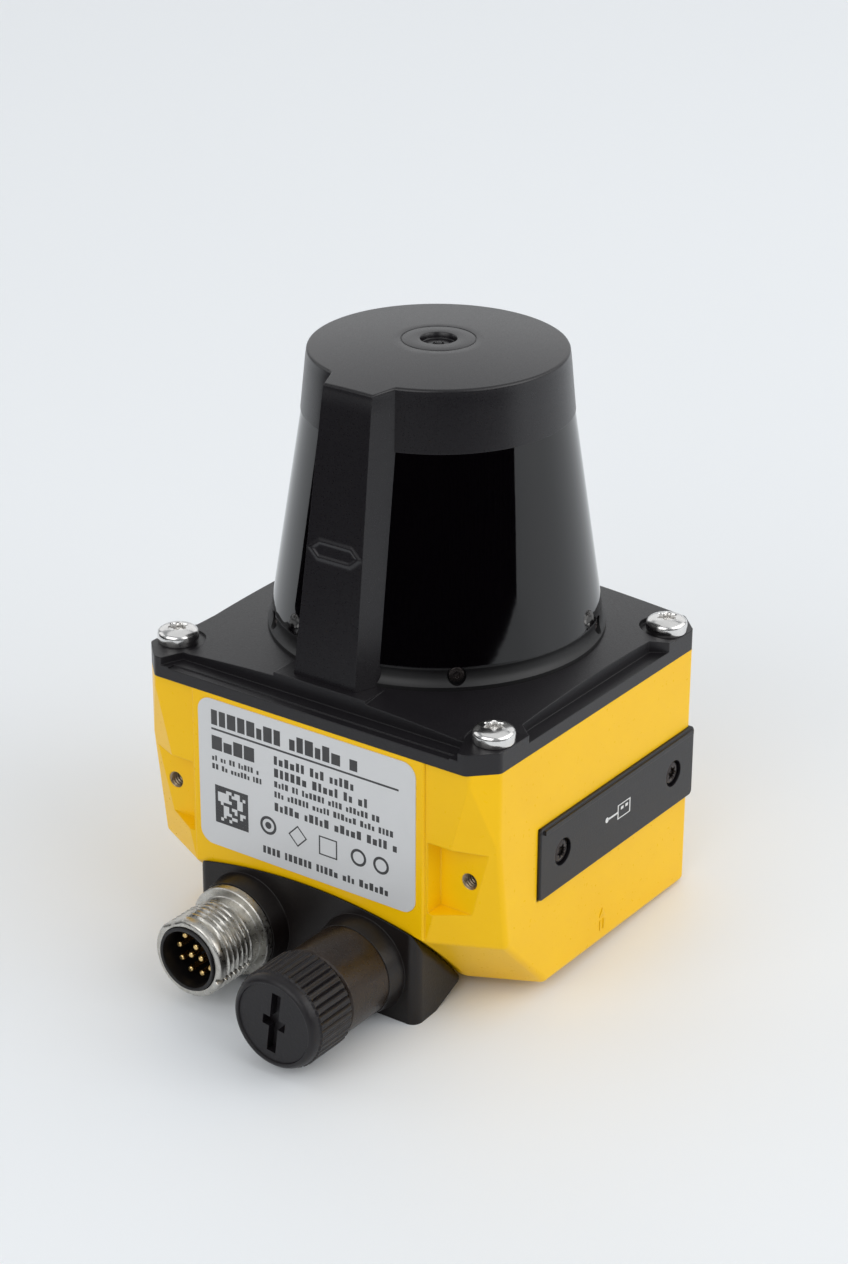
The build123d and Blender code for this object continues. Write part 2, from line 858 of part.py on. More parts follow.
# Cap and pillar of the hood are one moulding
with BuildPart() as hood_frame:
    with BuildSketch(hood_section):
        with BuildLine():
            ThreePointArc(
                (0, total_height),
                (cap_top_radius / 2, total_height - cap_crown / 4),
                (cap_top_radius, cap_rim),
            )
            Polyline(
                (cap_top_radius, cap_rim),
                (cap_bottom_radius, cap_bottom_height),
                (cap_inner_radius, cap_bottom_height),
                (cap_inner_radius, cap_bottom_height + window_lip + cap_gap),
                (motor_seat_radius, cap_inner_top),
                (0, cap_inner_top),
                (0, total_height),
            )
        make_face()
    revolve(axis=hood_axis)
    cap_edge = hood_frame.edges().filter_by(GeomType.CIRCLE).filter_by(
        lambda e: abs(e.radius - cap_top_radius) < 0.01
    )
    fillet(cap_edge, cap_edge_round)
    with BuildSketch(Plane.XY.offset(hood_seat)):
        add(pillar_outline(pillar_bottom_out, pillar_bottom_half, pillar_bottom_in, 0))
    with BuildSketch(Plane.XY.offset(pillar_top)):
        add(pillar_outline(pillar_top_out, pillar_top_half, pillar_top_in, 0))
    loft()
    with BuildSketch(hood_section):
        with BuildLine():
            Polyline(
                (0, cap_bottom_height - 1),
                (motor_seat_radius, cap_bottom_height - 1),
                (motor_seat_radius, cap_inner_top),
                (0, cap_inner_top),
                close=True,
            )
        make_face()
    revolve(axis=hood_axis, mode=Mode.SUBTRACT)
    with BuildSketch(Plane.YZ):
        with BuildLine():
            Polyline(*strip_outline(channel_points, channel_depth), close=True)
        make_face()
    extrude(amount=channel_width / 2, both=True, mode=Mode.SUBTRACT)
    with BuildSketch(scan_mark_plane):
        with BuildLine():
            Polyline(*hexagon_points(0), close=True)
        make_face()
        with BuildLine():
            Polyline(*hexagon_points(mark_line), close=True)
        make_face(mode=Mode.SUBTRACT)
    extrude(amount=-mark_depth, mode=Mode.SUBTRACT)
    with BuildSketch(Plane.XY.offset(total_height)):
        with Locations((0, hood_y)):
            Circle(disc_radius)
            Circle(disc_radius - disc_line, mode=Mode.SUBTRACT)
    extrude(amount=-disc_line_depth, mode=Mode.SUBTRACT)
    with BuildSketch(Plane.XY.offset(total_height)):
        with Locations((0, hood_y)):
            Circle(recess_radius)
            Circle(recess_boss_radius, mode=Mode.SUBTRACT)
    extrude(amount=-recess_depth, mode=Mode.SUBTRACT)
    with BuildSketch(Plane.XY.offset(cap_inner_top)):
        with Locations((0, hood_y)):
            with PolarLocations(motor_screw_circle, 3, 30):
                Circle(motor_screw_radius + screw_play)
    extrude(amount=motor_screw_grip, mode=Mode.SUBTRACT)

hood_frame.part.label = "hood_frame"
export_step(hood_frame.part, "parts/hood_frame.step")

# Room for the pillar where it is bonded into the window
with BuildPart() as pillar_room:
    with BuildSketch(Plane.XY.offset(hood_seat)):
        add(pillar_outline(pillar_bottom_out, pillar_bottom_half, pillar_bottom_in, bond_gap))
    with BuildSketch(Plane.XY.offset(pillar_top)):
        add(pillar_outline(pillar_top_out, pillar_top_half, pillar_top_in, bond_gap))
    loft()

with BuildPart() as hood_window:
    with BuildSketch(hood_section):
        with BuildLine():
            Line((window_foot_radius, hood_seat), (window_foot_radius, hood_seat + foot_thickness))
            ThreePointArc(
                (window_foot_radius, hood_seat + foot_thickness),
                (window_foot_radius - window_flare, hood_seat + 2 * foot_thickness),
                (window_cone_radius, window_cone_height),
            )
            Polyline(
                (window_cone_radius, window_cone_height),
                (cap_bottom_radius - window_step, cap_bottom_height),
                (window_lip_radius, cap_bottom_height),
                (window_lip_radius, cap_bottom_height + window_lip),
                (window_lip_radius - window_lip_wall, cap_bottom_height + window_lip),
                (window_lip_radius - window_lip_wall, lip_foot_height),
                (cone_radius(lip_foot_height - 1) - window_wall, lip_foot_height - 1),
                (cone_radius(window_foot_top) - window_wall, window_foot_top),
                (window_foot_inner, window_foot_top - window_step),
                (window_foot_inner, hood_seat),
                (window_foot_radius, hood_seat),
            )
        make_face()
    revolve(axis=hood_axis)
    add(pillar_room.part, mode=Mode.SUBTRACT)
    for angle in hood_screw_angles:
        with BuildSketch(hood_screw_plane(angle)):
            Circle(hood_screw_radius + hood_screw_play)
        extrude(amount=2, mode=Mode.SUBTRACT)
        with BuildSketch(hood_screw_plane(angle)):
            Circle(hood_shank_radius + screw_play)
        extrude(amount=-2, mode=Mode.SUBTRACT)

hood_window.part.label = "hood_window"
export_step(hood_window.part, "parts/hood_window.step")

with BuildPart() as hood_screws:
    for angle in hood_screw_angles:
        with BuildSketch(hood_screw_plane(angle)):
            Circle(hood_screw_radius)
        extrude(amount=hood_screw_head)
        with BuildSketch(hood_screw_plane(angle)):
            Circle(hood_shank_radius)
        extrude(amount=hood_screw_tip - hood_screw_seat)

hood_screws.part.label = "hood_screws"
export_step(hood_screws.part, "parts/hood_screws.step")

# The motor hangs from the cap on its flange
with BuildPart() as motor_base:
    with BuildSketch(Plane.XY.offset(motor_top)):
        with Locations((0, hood_y)):
            Circle(motor_flange_radius)
        with Locations((0, hood_y + motor_flange_radius)):
            Rectangle(fork_width, 2 * (fork_stem_back - hood_y - motor_flange_radius))
        with Locations((0, hood_y)):
            with PolarLocations(motor_screw_circle, 3, 30):
                Circle(motor_screw_radius + motor_screw_play, mode=Mode.SUBTRACT)
    extrude(amount=motor_flange)
    with BuildSketch(hood_section):
        with BuildLine():
            Polyline(
                (0, motor_bottom),
                (motor_tube_radius, motor_bottom),
                (motor_tube_radius, motor_top),
                (0, motor_top),
                close=True,
            )
        make_face()
    revolve(axis=hood_axis)
    with BuildSketch(hood_section):
        with BuildLine():
            Polyline(
                (0, motor_bottom - 1),
                (bearing_radius + running_gap, motor_bottom - 1),
                (bearing_radius + running_gap, motor_bottom + bearing_length),
                (bearing_shoulder, motor_bottom + bearing_length),
                (bearing_shoulder, motor_top - bearing_length),
                (bearing_radius + running_gap, motor_top - bearing_length),
                (bearing_radius + running_gap, motor_top),
                (bearing_shoulder, motor_top),
                (bearing_shoulder, motor_top + motor_flange),
                (0, motor_top + motor_flange),
                close=True,
            )
        make_face()
    revolve(axis=hood_axis, mode=Mode.SUBTRACT)

motor_base.part.label = "motor_base"
export_step(motor_base.part, "parts/motor_base.step")

with BuildPart() as motor_screws:
    with BuildSketch(Plane.XY.offset(motor_top)):
        with Locations((0, hood_y)):
            with PolarLocations(motor_screw_circle, 3, 30):
                Circle(motor_screw_radius)
    extrude(amount=motor_flange + motor_screw_grip)
    with BuildSketch(Plane.XY.offset(motor_top)):
        with Locations((0, hood_y)):
            with PolarLocations(motor_screw_circle, 3, 30):
                Circle(motor_screw_head_radius)
    extrude(amount=-motor_screw_head)

motor_screws.part.label = "motor_screws"
export_step(motor_screws.part, "parts/motor_screws.step")

with BuildPart() as shaft_bearings:
    for bottom in (motor_bottom, motor_top - bearing_length):
        with BuildSketch(Plane.XY.offset(bottom)):
            with Locations((0, hood_y)):
                Circle(bearing_radius)
                Circle(shaft_radius + running_gap, mode=Mode.SUBTRACT)
        extrude(amount=bearing_length)

shaft_bearings.part.label = "shaft_bearings"
export_step(shaft_bearings.part, "parts/shaft_bearings.step")

with BuildPart() as motor_shaft:
    with BuildSketch(Plane.XY.offset(shaft_bottom)):
        with Locations((0, hood_y)):
            Circle(shaft_radius)
    extrude(amount=motor_top + motor_flange / 2 - shaft_bottom)
    chamfer(motor_shaft.edges().group_by(Axis.Z)[-1], shaft_radius / 4)

motor_shaft.part.label = "motor_shaft"
export_step(motor_shaft.part, "parts/motor_shaft.step")

with BuildPart() as motor_stator:
    with BuildSketch(Plane.XY.offset(stator_bottom)):
        with Locations((0, hood_y)):
            Circle(stator_hub_radius)
            with PolarLocations((motor_tube_radius + stator_radius + 1) / 2, stator_teeth):
                Rectangle(stator_radius - motor_tube_radius - 1, tooth_width)
            with PolarLocations(stator_radius - tooth_tip / 2, stator_teeth):
                Rectangle(tooth_tip, tooth_tip_width)
        with Locations((0, hood_y)):
            Circle(motor_tube_radius + running_gap, mode=Mode.SUBTRACT)
    extrude(amount=stator_length)

motor_stator.part.label = "motor_stator"
export_step(motor_stator.part, "parts/motor_stator.step")

with BuildPart() as stator_windings:
    winding_middle = (stator_hub_radius + stator_radius - tooth_tip) / 2
    winding_length = stator_radius - tooth_tip - stator_hub_radius - winding_gap
    with BuildSketch(Plane.XY.offset(stator_bottom - winding_thickness)):
        with Locations((0, hood_y)):
            with PolarLocations(winding_middle, stator_teeth):
                Rectangle(winding_length, tooth_width + 2 * winding_thickness)
    extrude(amount=stator_length + 2 * winding_thickness)
    with BuildSketch(Plane.XY.offset(stator_bottom)):
        with Locations((0, hood_y)):
            with PolarLocations(winding_middle, stator_teeth):
                Rectangle(winding_length + 1, tooth_width)
    extrude(amount=stator_length, mode=Mode.SUBTRACT)

stator_windings.part.label = "stator_windings"
export_step(stator_windings.part, "parts/stator_windings.step")

with BuildPart() as rotor_cup:
    with BuildSketch(hood_section):
        with BuildLine():
            Polyline(
                (shaft_radius, holder_seat),
                (cup_radius, holder_seat),
                (cup_radius, cup_rim),
                (cup_inner, cup_rim),
                (cup_inner, cup_top),
                (shaft_radius, cup_top),
                close=True,
            )
        make_face()
    revolve(axis=hood_axis)

rotor_cup.part.label = "rotor_cup"
export_step(rotor_cup.part, "parts/rotor_cup.step")

with BuildPart() as rotor_magnet:
    with BuildSketch(Plane.XY.offset(stator_bottom - winding_thickness)):
        with Locations((0, hood_y)):
            Circle(cup_inner)
            Circle(magnet_radius, mode=Mode.SUBTRACT)
    extrude(amount=cup_rim - stator_bottom + winding_thickness)

rotor_magnet.part.label = "rotor_magnet"
export_step(rotor_magnet.part, "parts/rotor_magnet.step")

with BuildPart() as encoder_disc:
    with BuildSketch(Plane.XY.offset(holder_top)):
        with Locations((0, hood_y)):
            Circle(encoder_radius)
            Circle(shaft_radius, mode=Mode.SUBTRACT)
            with PolarLocations(encoder_slot_circle, encoder_slots):
                Rectangle(encoder_slot_length, encoder_slot_width, mode=Mode.SUBTRACT)
    extrude(amount=encoder_thickness)

encoder_disc.part.label = "encoder_disc"
export_step(encoder_disc.part, "parts/encoder_disc.step")

with BuildPart() as encoder_fork:
    with BuildSketch(Plane.YZ):
        with BuildLine():
            Polyline(
                (fork_front, fork_bottom),
                (fork_back, fork_bottom),
                (fork_back, fork_shoulder),
                (fork_stem_back, fork_shoulder),
                (fork_stem_back, motor_top),
                (fork_front, motor_top),
                (fork_front, holder_seat + fork_gap),
                (fork_slot_back, holder_seat + fork_gap),
                (fork_slot_back, holder_top - fork_gap),
                (fork_front, holder_top - fork_gap),
                close=True,
            )
        make_face()
    extrude(amount=fork_width / 2, both=True)

encoder_fork.part.label = "encoder_fork"
export_step(encoder_fork.part, "parts/encoder_fork.step")

# The mirror holder and the mirror are cut from one turned blank
mirror_face = Plane(origin=(0, hood_y, scan_height), z_dir=(0, 1, 1))
with BuildPart() as mirror_holder:
    with BuildSketch(Plane.XY.offset(scan_height - 2 * mirror_radius)):
        with Locations((0, hood_y)):
            Circle(mirror_radius)
    extrude(amount=holder_top - scan_height + 2 * mirror_radius)
    split(bisect_by=mirror_face.offset(mirror_thickness), keep=Keep.TOP)
    with BuildSketch(Plane.XY.offset(shaft_bottom)):
        with Locations((0, hood_y)):
            Circle(shaft_radius)
    extrude(amount=holder_top - shaft_bottom, mode=Mode.SUBTRACT)

mirror_holder.part.label = "mirror_holder"
export_step(mirror_holder.part, "parts/mirror_holder.step")

with BuildPart() as mirror:
    with BuildSketch(Plane.XY.offset(scan_height - 2 * mirror_radius)):
        with Locations((0, hood_y)):
            Circle(mirror_radius - mirror_inset)
    extrude(amount=holder_top - mirror_inset - scan_height + 2 * mirror_radius)
    split(bisect_by=mirror_face, keep=Keep.TOP)
    split(bisect_by=mirror_face.offset(mirror_thickness), keep=Keep.BOTTOM)

mirror.part.label = "mirror"
export_step(mirror.part, "parts/mirror.step")

with BuildPart() as optics_carrier:
    with BuildSketch(hood_section):
        with BuildLine():
            Polyline(
                (barrel_radius, barrel_bottom),
                (barrel_radius, carrier_bottom),
                (carrier_flange_radius, carrier_bottom),
                (carrier_flange_radius, carrier_bottom + carrier_flange),
                (barrel_radius, carrier_bottom + carrier_flange),
                (barrel_radius, barrel_top),
                (barrel_inner, barrel_top),
                (barrel_inner, lens_height),
                (barrel_inner - lens_ledge, lens_height),
                (barrel_inner - lens_ledge, lens_height - lens_ledge),
                (barrel_inner, lens_height - 2 * lens_ledge),
                (barrel_inner, barrel_bottom),
                close=True,
            )
        make_face()
    revolve(axis=hood_axis)
    with BuildSketch(Plane.XY.offset(carrier_bottom)):
        with Locations((0, hood_y)):
            with PolarLocations(carrier_screw_circle, 3, 30):
                Circle(carrier_screw_radius + screw_play)
    extrude(amount=carrier_flange, mode=Mode.SUBTRACT)

optics_carrier.part.label = "optics_carrier"
export_step(optics_carrier.part, "parts/optics_carrier.step")

with BuildPart() as carrier_screws:
    with BuildSketch(Plane.XY.offset(carrier_bottom - carrier_screw_depth)):
        with Locations((0, hood_y)):
            with PolarLocations(carrier_screw_circle, 3, 30):
                Circle(carrier_screw_radius)
    extrude(amount=carrier_screw_depth + carrier_flange)
    with BuildSketch(Plane.XY.offset(carrier_bottom + carrier_flange)):
        with Locations((0, hood_y)):
            with PolarLocations(carrier_screw_circle, 3, 30):
                Circle(carrier_head_radius)
    extrude(amount=carrier_head_height)

carrier_screws.part.label = "carrier_screws"
export_step(carrier_screws.part, "parts/carrier_screws.step")

with BuildPart() as receiver_lens:
    with BuildSketch(hood_section):
        with BuildLine():
            Line((laser_radius + running_gap, lens_height), (lens_radius, lens_height))
            Line((lens_radius, lens_height), (lens_radius, lens_height + lens_edge))
            ThreePointArc(
                (lens_radius, lens_height + lens_edge),
                (lens_radius / 2, lens_height + lens_edge + lens_crown * 0.75),
                (laser_radius + running_gap, lens_height + lens_edge + lens_crown),
            )
            Line(
                (laser_radius + running_gap, lens_height + lens_edge + lens_crown),
                (laser_radius + running_gap, lens_height),
            )
        make_face()
    revolve(axis=hood_axis)

receiver_lens.part.label = "receiver_lens"
export_step(receiver_lens.part, "parts/receiver_lens.step")

with BuildPart() as laser_module:
    with BuildSketch(hood_section):
        with BuildLine():
            Polyline(
                (0, laser_bottom),
                (laser_base_radius, laser_bottom),
                (laser_base_radius, lens_height),
                (laser_radius, lens_height),
                (laser_radius, laser_top),
                (laser_aperture, laser_top),
                (laser_aperture, laser_top - laser_aperture),
                (0, laser_top - laser_aperture),
                close=True,
            )
        make_face()
    revolve(axis=hood_axis)

laser_module.part.label = "laser_module"
export_step(laser_module.part, "parts/laser_module.step")

with BuildPart() as receiver_board:
    with BuildSketch(Plane.XY.offset(barrel_bottom - board_thickness)):
        with Locations((0, hood_y)):
            Circle(barrel_radius)
    extrude(amount=board_thickness)

receiver_board.part.label = "receiver_board"
export_step(receiver_board.part, "parts/receiver_board.step")

with BuildPart() as detector:
    with BuildSketch(Plane.XY.offset(barrel_bottom)):
        with Locations((0, hood_y)):
            Circle(detector_radius)
    extrude(amount=detector_height)

detector.part.label = "detector"
export_step(detector.part, "parts/detector.step")

with BuildPart() as main_board:
    with BuildSketch(Plane.XY.offset(board_height)):
        with Locations((0, board_y)):
            Rectangle(board_width, board_depth)
        with Locations(*post_places):
            Circle(board_screw_radius + screw_play, mode=Mode.SUBTRACT)
    extrude(amount=board_thickness)

main_board.part.label = "main_board"
export_step(main_board.part, "parts/main_board.step")

with BuildPart() as board_screws:
    with BuildSketch(Plane.XY.offset(board_top)):
        with Locations(*post_places):
            Circle(board_screw_radius)
    extrude(amount=-board_thickness - board_screw_length + 1)
    with BuildSketch(Plane.XY.offset(board_top)):
        with Locations(*post_places):
            Circle(board_head_radius)
    extrude(amount=board_head_height)

board_screws.part.label = "board_screws"
export_step(board_screws.part, "parts/board_screws.step")

with BuildPart() as processor:
    with BuildSketch(Plane.XY.offset(board_top)):
        with Locations((0, board_y - processor_shift)):
            Rectangle(processor_size, processor_size)
    extrude(amount=processor_height)
    chamfer(processor.edges().group_by(Axis.Z)[-1], processor_height / 4)

processor.part.label = "processor"
export_step(processor.part, "parts/processor.step")

with BuildPart() as board_header:
    with BuildSketch(Plane.XY.offset(board_top)):
        with Locations((0, hood_y + header_shift)):
            Rectangle(header_length, header_width)
    extrude(amount=barrel_bottom - board_thickness - board_top)

board_header.part.label = "board_header"
export_step(board_header.part, "parts/board_header.step")

with BuildPart() as service_socket:
    with BuildSketch(side_plane(-half_width + wall + port_clearance / 2, port_y, socket_middle)):
        RectangleRounded(socket_width, socket_height, socket_height * 0.4)
    extrude(amount=-socket_depth)
    with BuildSketch(side_plane(-half_width + wall + port_clearance / 2, port_y, socket_middle)):
        RectangleRounded(
            socket_width - 2 * socket_shell,
            socket_height - 2 * socket_shell,
            (socket_height - 2 * socket_shell) * 0.4,
        )
        Rectangle(socket_width * 0.6, socket_shell, mode=Mode.SUBTRACT)
    extrude(amount=-socket_depth + 1, mode=Mode.SUBTRACT)

service_socket.part.label = "service_socket"
export_step(service_socket.part, "parts/service_socket.step")

with BuildPart() as flex_socket:
    with BuildSketch(Plane.XY.offset(board_top)):
        with Locations((0, flex_socket_y)):
            Rectangle(flex_width + 2, flex_socket_depth)
    extrude(amount=flex_socket_height)

flex_socket.part.label = "flex_socket"
export_step(flex_socket.part, "parts/flex_socket.step")

with BuildPart() as motor_flex:
    with BuildSketch(Plane.YZ):
        with BuildLine():
            Polyline(*strip_outline(flex_points, flex_thickness), close=True)
        make_face()
    extrude(amount=flex_width / 2, both=True)

motor_flex.part.label = "motor_flex"
export_step(motor_flex.part, "parts/motor_flex.step")

with BuildPart() as service_cover:
    with BuildSketch(side_plane(-half_width - port_cover_proud, port_y, port_height)):
        Rectangle(port_cover_length - 2 * screw_play, port_cover_height - 2 * screw_play)
    extrude(amount=-port_cover_thickness)
    fillet(service_cover.edges().filter_by(Axis.X), port_corner)
    fillet(service_cover.faces().sort_by(Axis.X)[0].edges(), port_edge_round)
    lip_z = port_height + port_cover_height / 2 - port_lip_height
    with BuildSketch(side_plane(-half_width - port_cover_proud, port_y, lip_z)):
        Rectangle(port_cover_length - port_corner * 2, port_lip_height)
    extrude(amount=port_lip)
    for y in port_screw_places:
        with BuildSketch(side_plane(-half_width - port_cover_proud, y, port_height)):
            Circle(port_well_radius)
        extrude(amount=-port_head_recess, mode=Mode.SUBTRACT)
        with BuildSketch(side_plane(-half_width - port_cover_proud, y, port_height)):
            Circle(port_screw_radius + screw_play)
        extrude(amount=-port_cover_thickness, mode=Mode.SUBTRACT)

service_cover.part.label = "service_cover"
export_step(service_cover.part, "parts/service_cover.step")

with BuildPart() as service_seal:
    with BuildSketch(side_plane(-half_width + port_recess, port_y, port_height)):
        Rectangle(port_cover_length - port_seal, port_cover_height - port_seal)
        Rectangle(socket_width + 2 * port_clearance, port_cover_height / 2, mode=Mode.SUBTRACT)
        with GridLocations(port_screw_spacing, 1, 2, 1):
            Circle(port_screw_radius + screw_play, mode=Mode.SUBTRACT)
    extrude(amount=port_seal)

service_seal.part.label = "service_seal"
export_step(service_seal.part, "parts/service_seal.step")

with BuildPart() as service_screws:
    head_seat = -half_width - port_cover_proud + port_head_recess
    for y in port_screw_places:
        with BuildSketch(side_plane(head_seat, y, port_height)):
            Circle(port_head_radius)
        extrude(amount=port_head_height)
        with BuildSketch(side_plane(head_seat, y, port_height)):
            Circle(port_screw_radius)
        extrude(amount=-port_screw_length + port_head_recess)
        with BuildSketch(side_plane(head_seat - port_head_height, y, port_height)):
            add(drive_star(port_head_radius * 0.55, port_head_radius * 0.38))
        extrude(amount=-port_head_height * 0.6, mode=Mode.SUBTRACT)

service_screws.part.label = "service_screws"
export_step(service_screws.part, "parts/service_screws.step")

with BuildPart() as status_lights:
    with BuildSketch(Plane.XZ.offset(half_depth + light_proud)):
        with Locations((0, light_height)):
            with GridLocations(light_spacing, 1, 2, 1):
                Circle(light_radius - screw_play)
    extrude(amount=-light_length)
    fillet(status_lights.edges().group_by(Axis.Y)[0], light_radius / 3)

status_lights.part.label = "status_lights"
export_step(status_lights.part, "parts/status_lights.step")

with BuildPart() as light_board:
    with BuildSketch(Plane.XZ.offset(half_depth + light_proud - light_length)):
        with Locations((0, light_height)):
            Rectangle(light_board_width, light_board_height)
    extrude(amount=-board_thickness / 2)

light_board.part.label = "light_board"
export_step(light_board.part, "parts/light_board.step")

with BuildPart() as rear_label:
    with BuildSketch(rear_plane(0, rear_face, label_bottom + label_height / 2)):
        RectangleRounded(label_width, label_height, label_corner)
    extrude(amount=label_thickness)

rear_label.part.label = "rear_label"
export_step(rear_label.part, "parts/rear_label.step")

# The block turns on its journal about an axis square to the sloping seat
with BuildPart() as connector_block:
    with BuildSketch(Plane.YZ):
        with BuildLine():
            Polyline(
                (block_rear, block_bottom),
                (block_rear, seat_offset),
                (seat_offset - block_run, seat_offset),
                (seat_offset - block_run, block_slope * block_run),
                (block_rear - block_flat, block_bottom),
                close=True,
            )
        make_face()
    extrude(amount=block_width / 2, both=True)
    with Locations(dish_center):
        Sphere(dish_radius - swivel_gap, mode=Mode.INTERSECT)
    end_edges = connector_block.edges().filter_by(
        lambda e: abs(e.center().X) > block_width / 2 - screw_play
        and (e.geom_type == GeomType.CIRCLE or abs(e.tangent_at(0.5).Z) > 0.9)
    )
    fillet(end_edges, block_round)
    with BuildSketch(swivel_section):
        with BuildLine():
            Polyline(
                (0, 0),
                (journal_radius, 0),
                (journal_radius, seal_top),
                (journal_radius - seal_depth, seal_top),
                (journal_radius - seal_depth, seal_top - seal_width),
                (journal_radius, seal_top - seal_width),
                (journal_radius, -dish_wall),
                (journal_radius - clip_groove, -dish_wall),
                (journal_radius - clip_groove, clip_bottom),
                (journal_radius, clip_bottom),
                (journal_radius, -dish_wall - journal_tail),
                (0, -dish_wall - journal_tail),
                close=True,
            )
        make_face()
    revolve(axis=swivel_axis)
    for x in (signal_x, socket_x):
        with BuildSketch(connector_section(x)):
            with BuildLine():
                Polyline(
                    (0, block_rear - 1),
                    (boss_radius, block_rear - 1),
                    (boss_radius, block_rear),
                    (boss_neck, boss_end),
                    (0, boss_end),
                    close=True,
                )
            make_face()
        revolve(axis=connector_axis(x))
    for x in (signal_x, socket_x):
        with BuildSketch(rear_plane(x, boss_end, connector_height)):
            Circle(tail_radius + running_gap)
        extrude(amount=tail_end - boss_end, mode=Mode.SUBTRACT)
    with BuildSketch(rear_plane(0, tail_end + 1, connector_height)):
        Rectangle(connector_spacing, wire_room)
    extrude(amount=-wire_room, mode=Mode.SUBTRACT)
    with BuildSketch(swivel_section):
        with BuildLine():
            Polyline(
                (0, wire_room / 2),
                (journal_bore, wire_room / 2),
                (journal_bore, -dish_wall - journal_tail),
                (0, -dish_wall - journal_tail),
                close=True,
            )
        make_face()
    revolve(axis=swivel_axis, mode=Mode.SUBTRACT)

connector_block.part.label = "connector_block"
export_step(connector_block.part, "parts/connector_block.step")

with BuildPart() as swivel_seal:
    with BuildSketch(swivel_section):
        with BuildLine():
            Polyline(
                (journal_radius - seal_depth + running_gap, seal_top - running_gap),
                (journal_radius + journal_play - running_gap, seal_top - running_gap),
                (journal_radius + journal_play - running_gap, seal_top - seal_width + running_gap),
                (journal_radius - seal_depth + running_gap, seal_top - seal_width + running_gap),
                close=True,
            )
        make_face()
    revolve(axis=swivel_axis)

swivel_seal.part.label = "swivel_seal"
export_step(swivel_seal.part, "parts/swivel_seal.step")

with BuildPart() as retaining_ring:
    with BuildSketch(swivel_section):
        with BuildLine():
            Polyline(
                (journal_radius - clip_groove + running_gap, clip_top),
                (clip_radius, clip_top),
                (clip_radius, clip_top - clip_thickness),
                (journal_radius - clip_groove + running_gap, clip_top - clip_thickness),
                close=True,
            )
        make_face()
    revolve(axis=swivel_axis)
    with BuildSketch(swivel_section):
        with Locations((0, clip_top)):
            Rectangle(clip_opening, 4 * clip_thickness)
    extrude(amount=2 * clip_radius, mode=Mode.SUBTRACT)

retaining_ring.part.label = "retaining_ring"
export_step(retaining_ring.part, "parts/retaining_ring.step")

with BuildPart() as signal_shell:
    with BuildSketch(connector_section(signal_x)):
        with BuildLine():
            Polyline(
                (shell_bore, tail_end + 1),
                (tail_radius, tail_end + 1),
                (tail_radius, boss_end),
                (shell_flange_radius, boss_end),
                (shell_flange_radius, boss_end + shell_flange),
                (shell_root_radius, boss_end + shell_flange),
                (shell_root_radius, boss_end + shell_flange + shell_root_length),
                (shell_radius, boss_end + shell_flange + shell_root_length),
                (shell_radius, shell_mouth - shell_mouth_bevel),
                (shell_radius - shell_mouth_bevel, shell_mouth),
                (shell_bore, shell_mouth),
                close=True,
            )
        make_face()
    revolve(axis=connector_axis(signal_x))

signal_shell.part.label = "signal_shell"
export_step(signal_shell.part, "parts/signal_shell.step")

pin_places = [
    (pin_inner_circle * math.cos(math.radians(90 + 120 * i)), pin_inner_circle * math.sin(math.radians(90 + 120 * i)))
    for i in range(3)
]
pin_places += [
    (pin_circle * math.cos(math.radians(90 + 40 * i)), pin_circle * math.sin(math.radians(90 + 40 * i)))
    for i in range(9)
]
with BuildPart() as signal_insert:
    with BuildSketch(rear_plane(signal_x, insert_floor, connector_height)):
        Circle(shell_bore - running_gap)
        with Locations(*pin_places):
            Circle(pin_radius + running_gap, mode=Mode.SUBTRACT)
    extrude(amount=boss_end - insert_floor)
    with BuildSketch(rear_plane(signal_x, insert_floor, connector_height)):
        Circle(shell_bore - running_gap)
        Circle(shell_bore - insert_wall, mode=Mode.SUBTRACT)
        with Locations((0, shell_bore - insert_wall - key_depth / 2)):
            Rectangle(key_width, 2 * key_depth)
    extrude(amount=shell_mouth - insert_floor - insert_set_back)

signal_insert.part.label = "signal_insert"
export_step(signal_insert.part, "parts/signal_insert.step")

with BuildPart() as signal_pins:
    with BuildSketch(rear_plane(signal_x, boss_end - 1, connector_height)):
        with Locations(*pin_places):
            Circle(pin_radius)
    extrude(amount=insert_floor + pin_length - boss_end + 1)
    fillet(signal_pins.edges().group_by(Axis.Y)[-1], pin_radius * 0.6)

signal_pins.part.label = "signal_pins"
export_step(signal_pins.part, "parts/signal_pins.step")

with BuildPart() as socket_sleeve:
    with BuildSketch(connector_section(socket_x)):
        with BuildLine():
            Polyline(
                (socket_insert_radius + running_gap, tail_end + 1),
                (tail_radius, tail_end + 1),
                (tail_radius, boss_end),
                (sleeve_radius, boss_end),
                (sleeve_radius, sleeve_end - sleeve_edge),
                (sleeve_radius - sleeve_edge, sleeve_end),
                (sleeve_bore, sleeve_end),
                (sleeve_bore, boss_end + shell_flange),
                (socket_insert_radius + running_gap, boss_end + shell_flange),
                close=True,
            )
        make_face()
    revolve(axis=connector_axis(socket_x))

socket_sleeve.part.label = "socket_sleeve"
export_step(socket_sleeve.part, "parts/socket_sleeve.step")

contact_places = [
    (contact_circle * math.cos(math.radians(45 + 90 * i)), contact_circle * math.sin(math.radians(45 + 90 * i)))
    for i in range(4)
]
with BuildPart() as socket_insert:
    with BuildSketch(rear_plane(socket_x, socket_insert_end, connector_height)):
        Circle(socket_insert_radius)
        with Locations(*contact_places):
            Circle(pin_radius * 1.6 + running_gap, mode=Mode.SUBTRACT)
    extrude(amount=tail_end + 1 - socket_insert_end)

socket_insert.part.label = "socket_insert"
export_step(socket_insert.part, "parts/socket_insert.step")

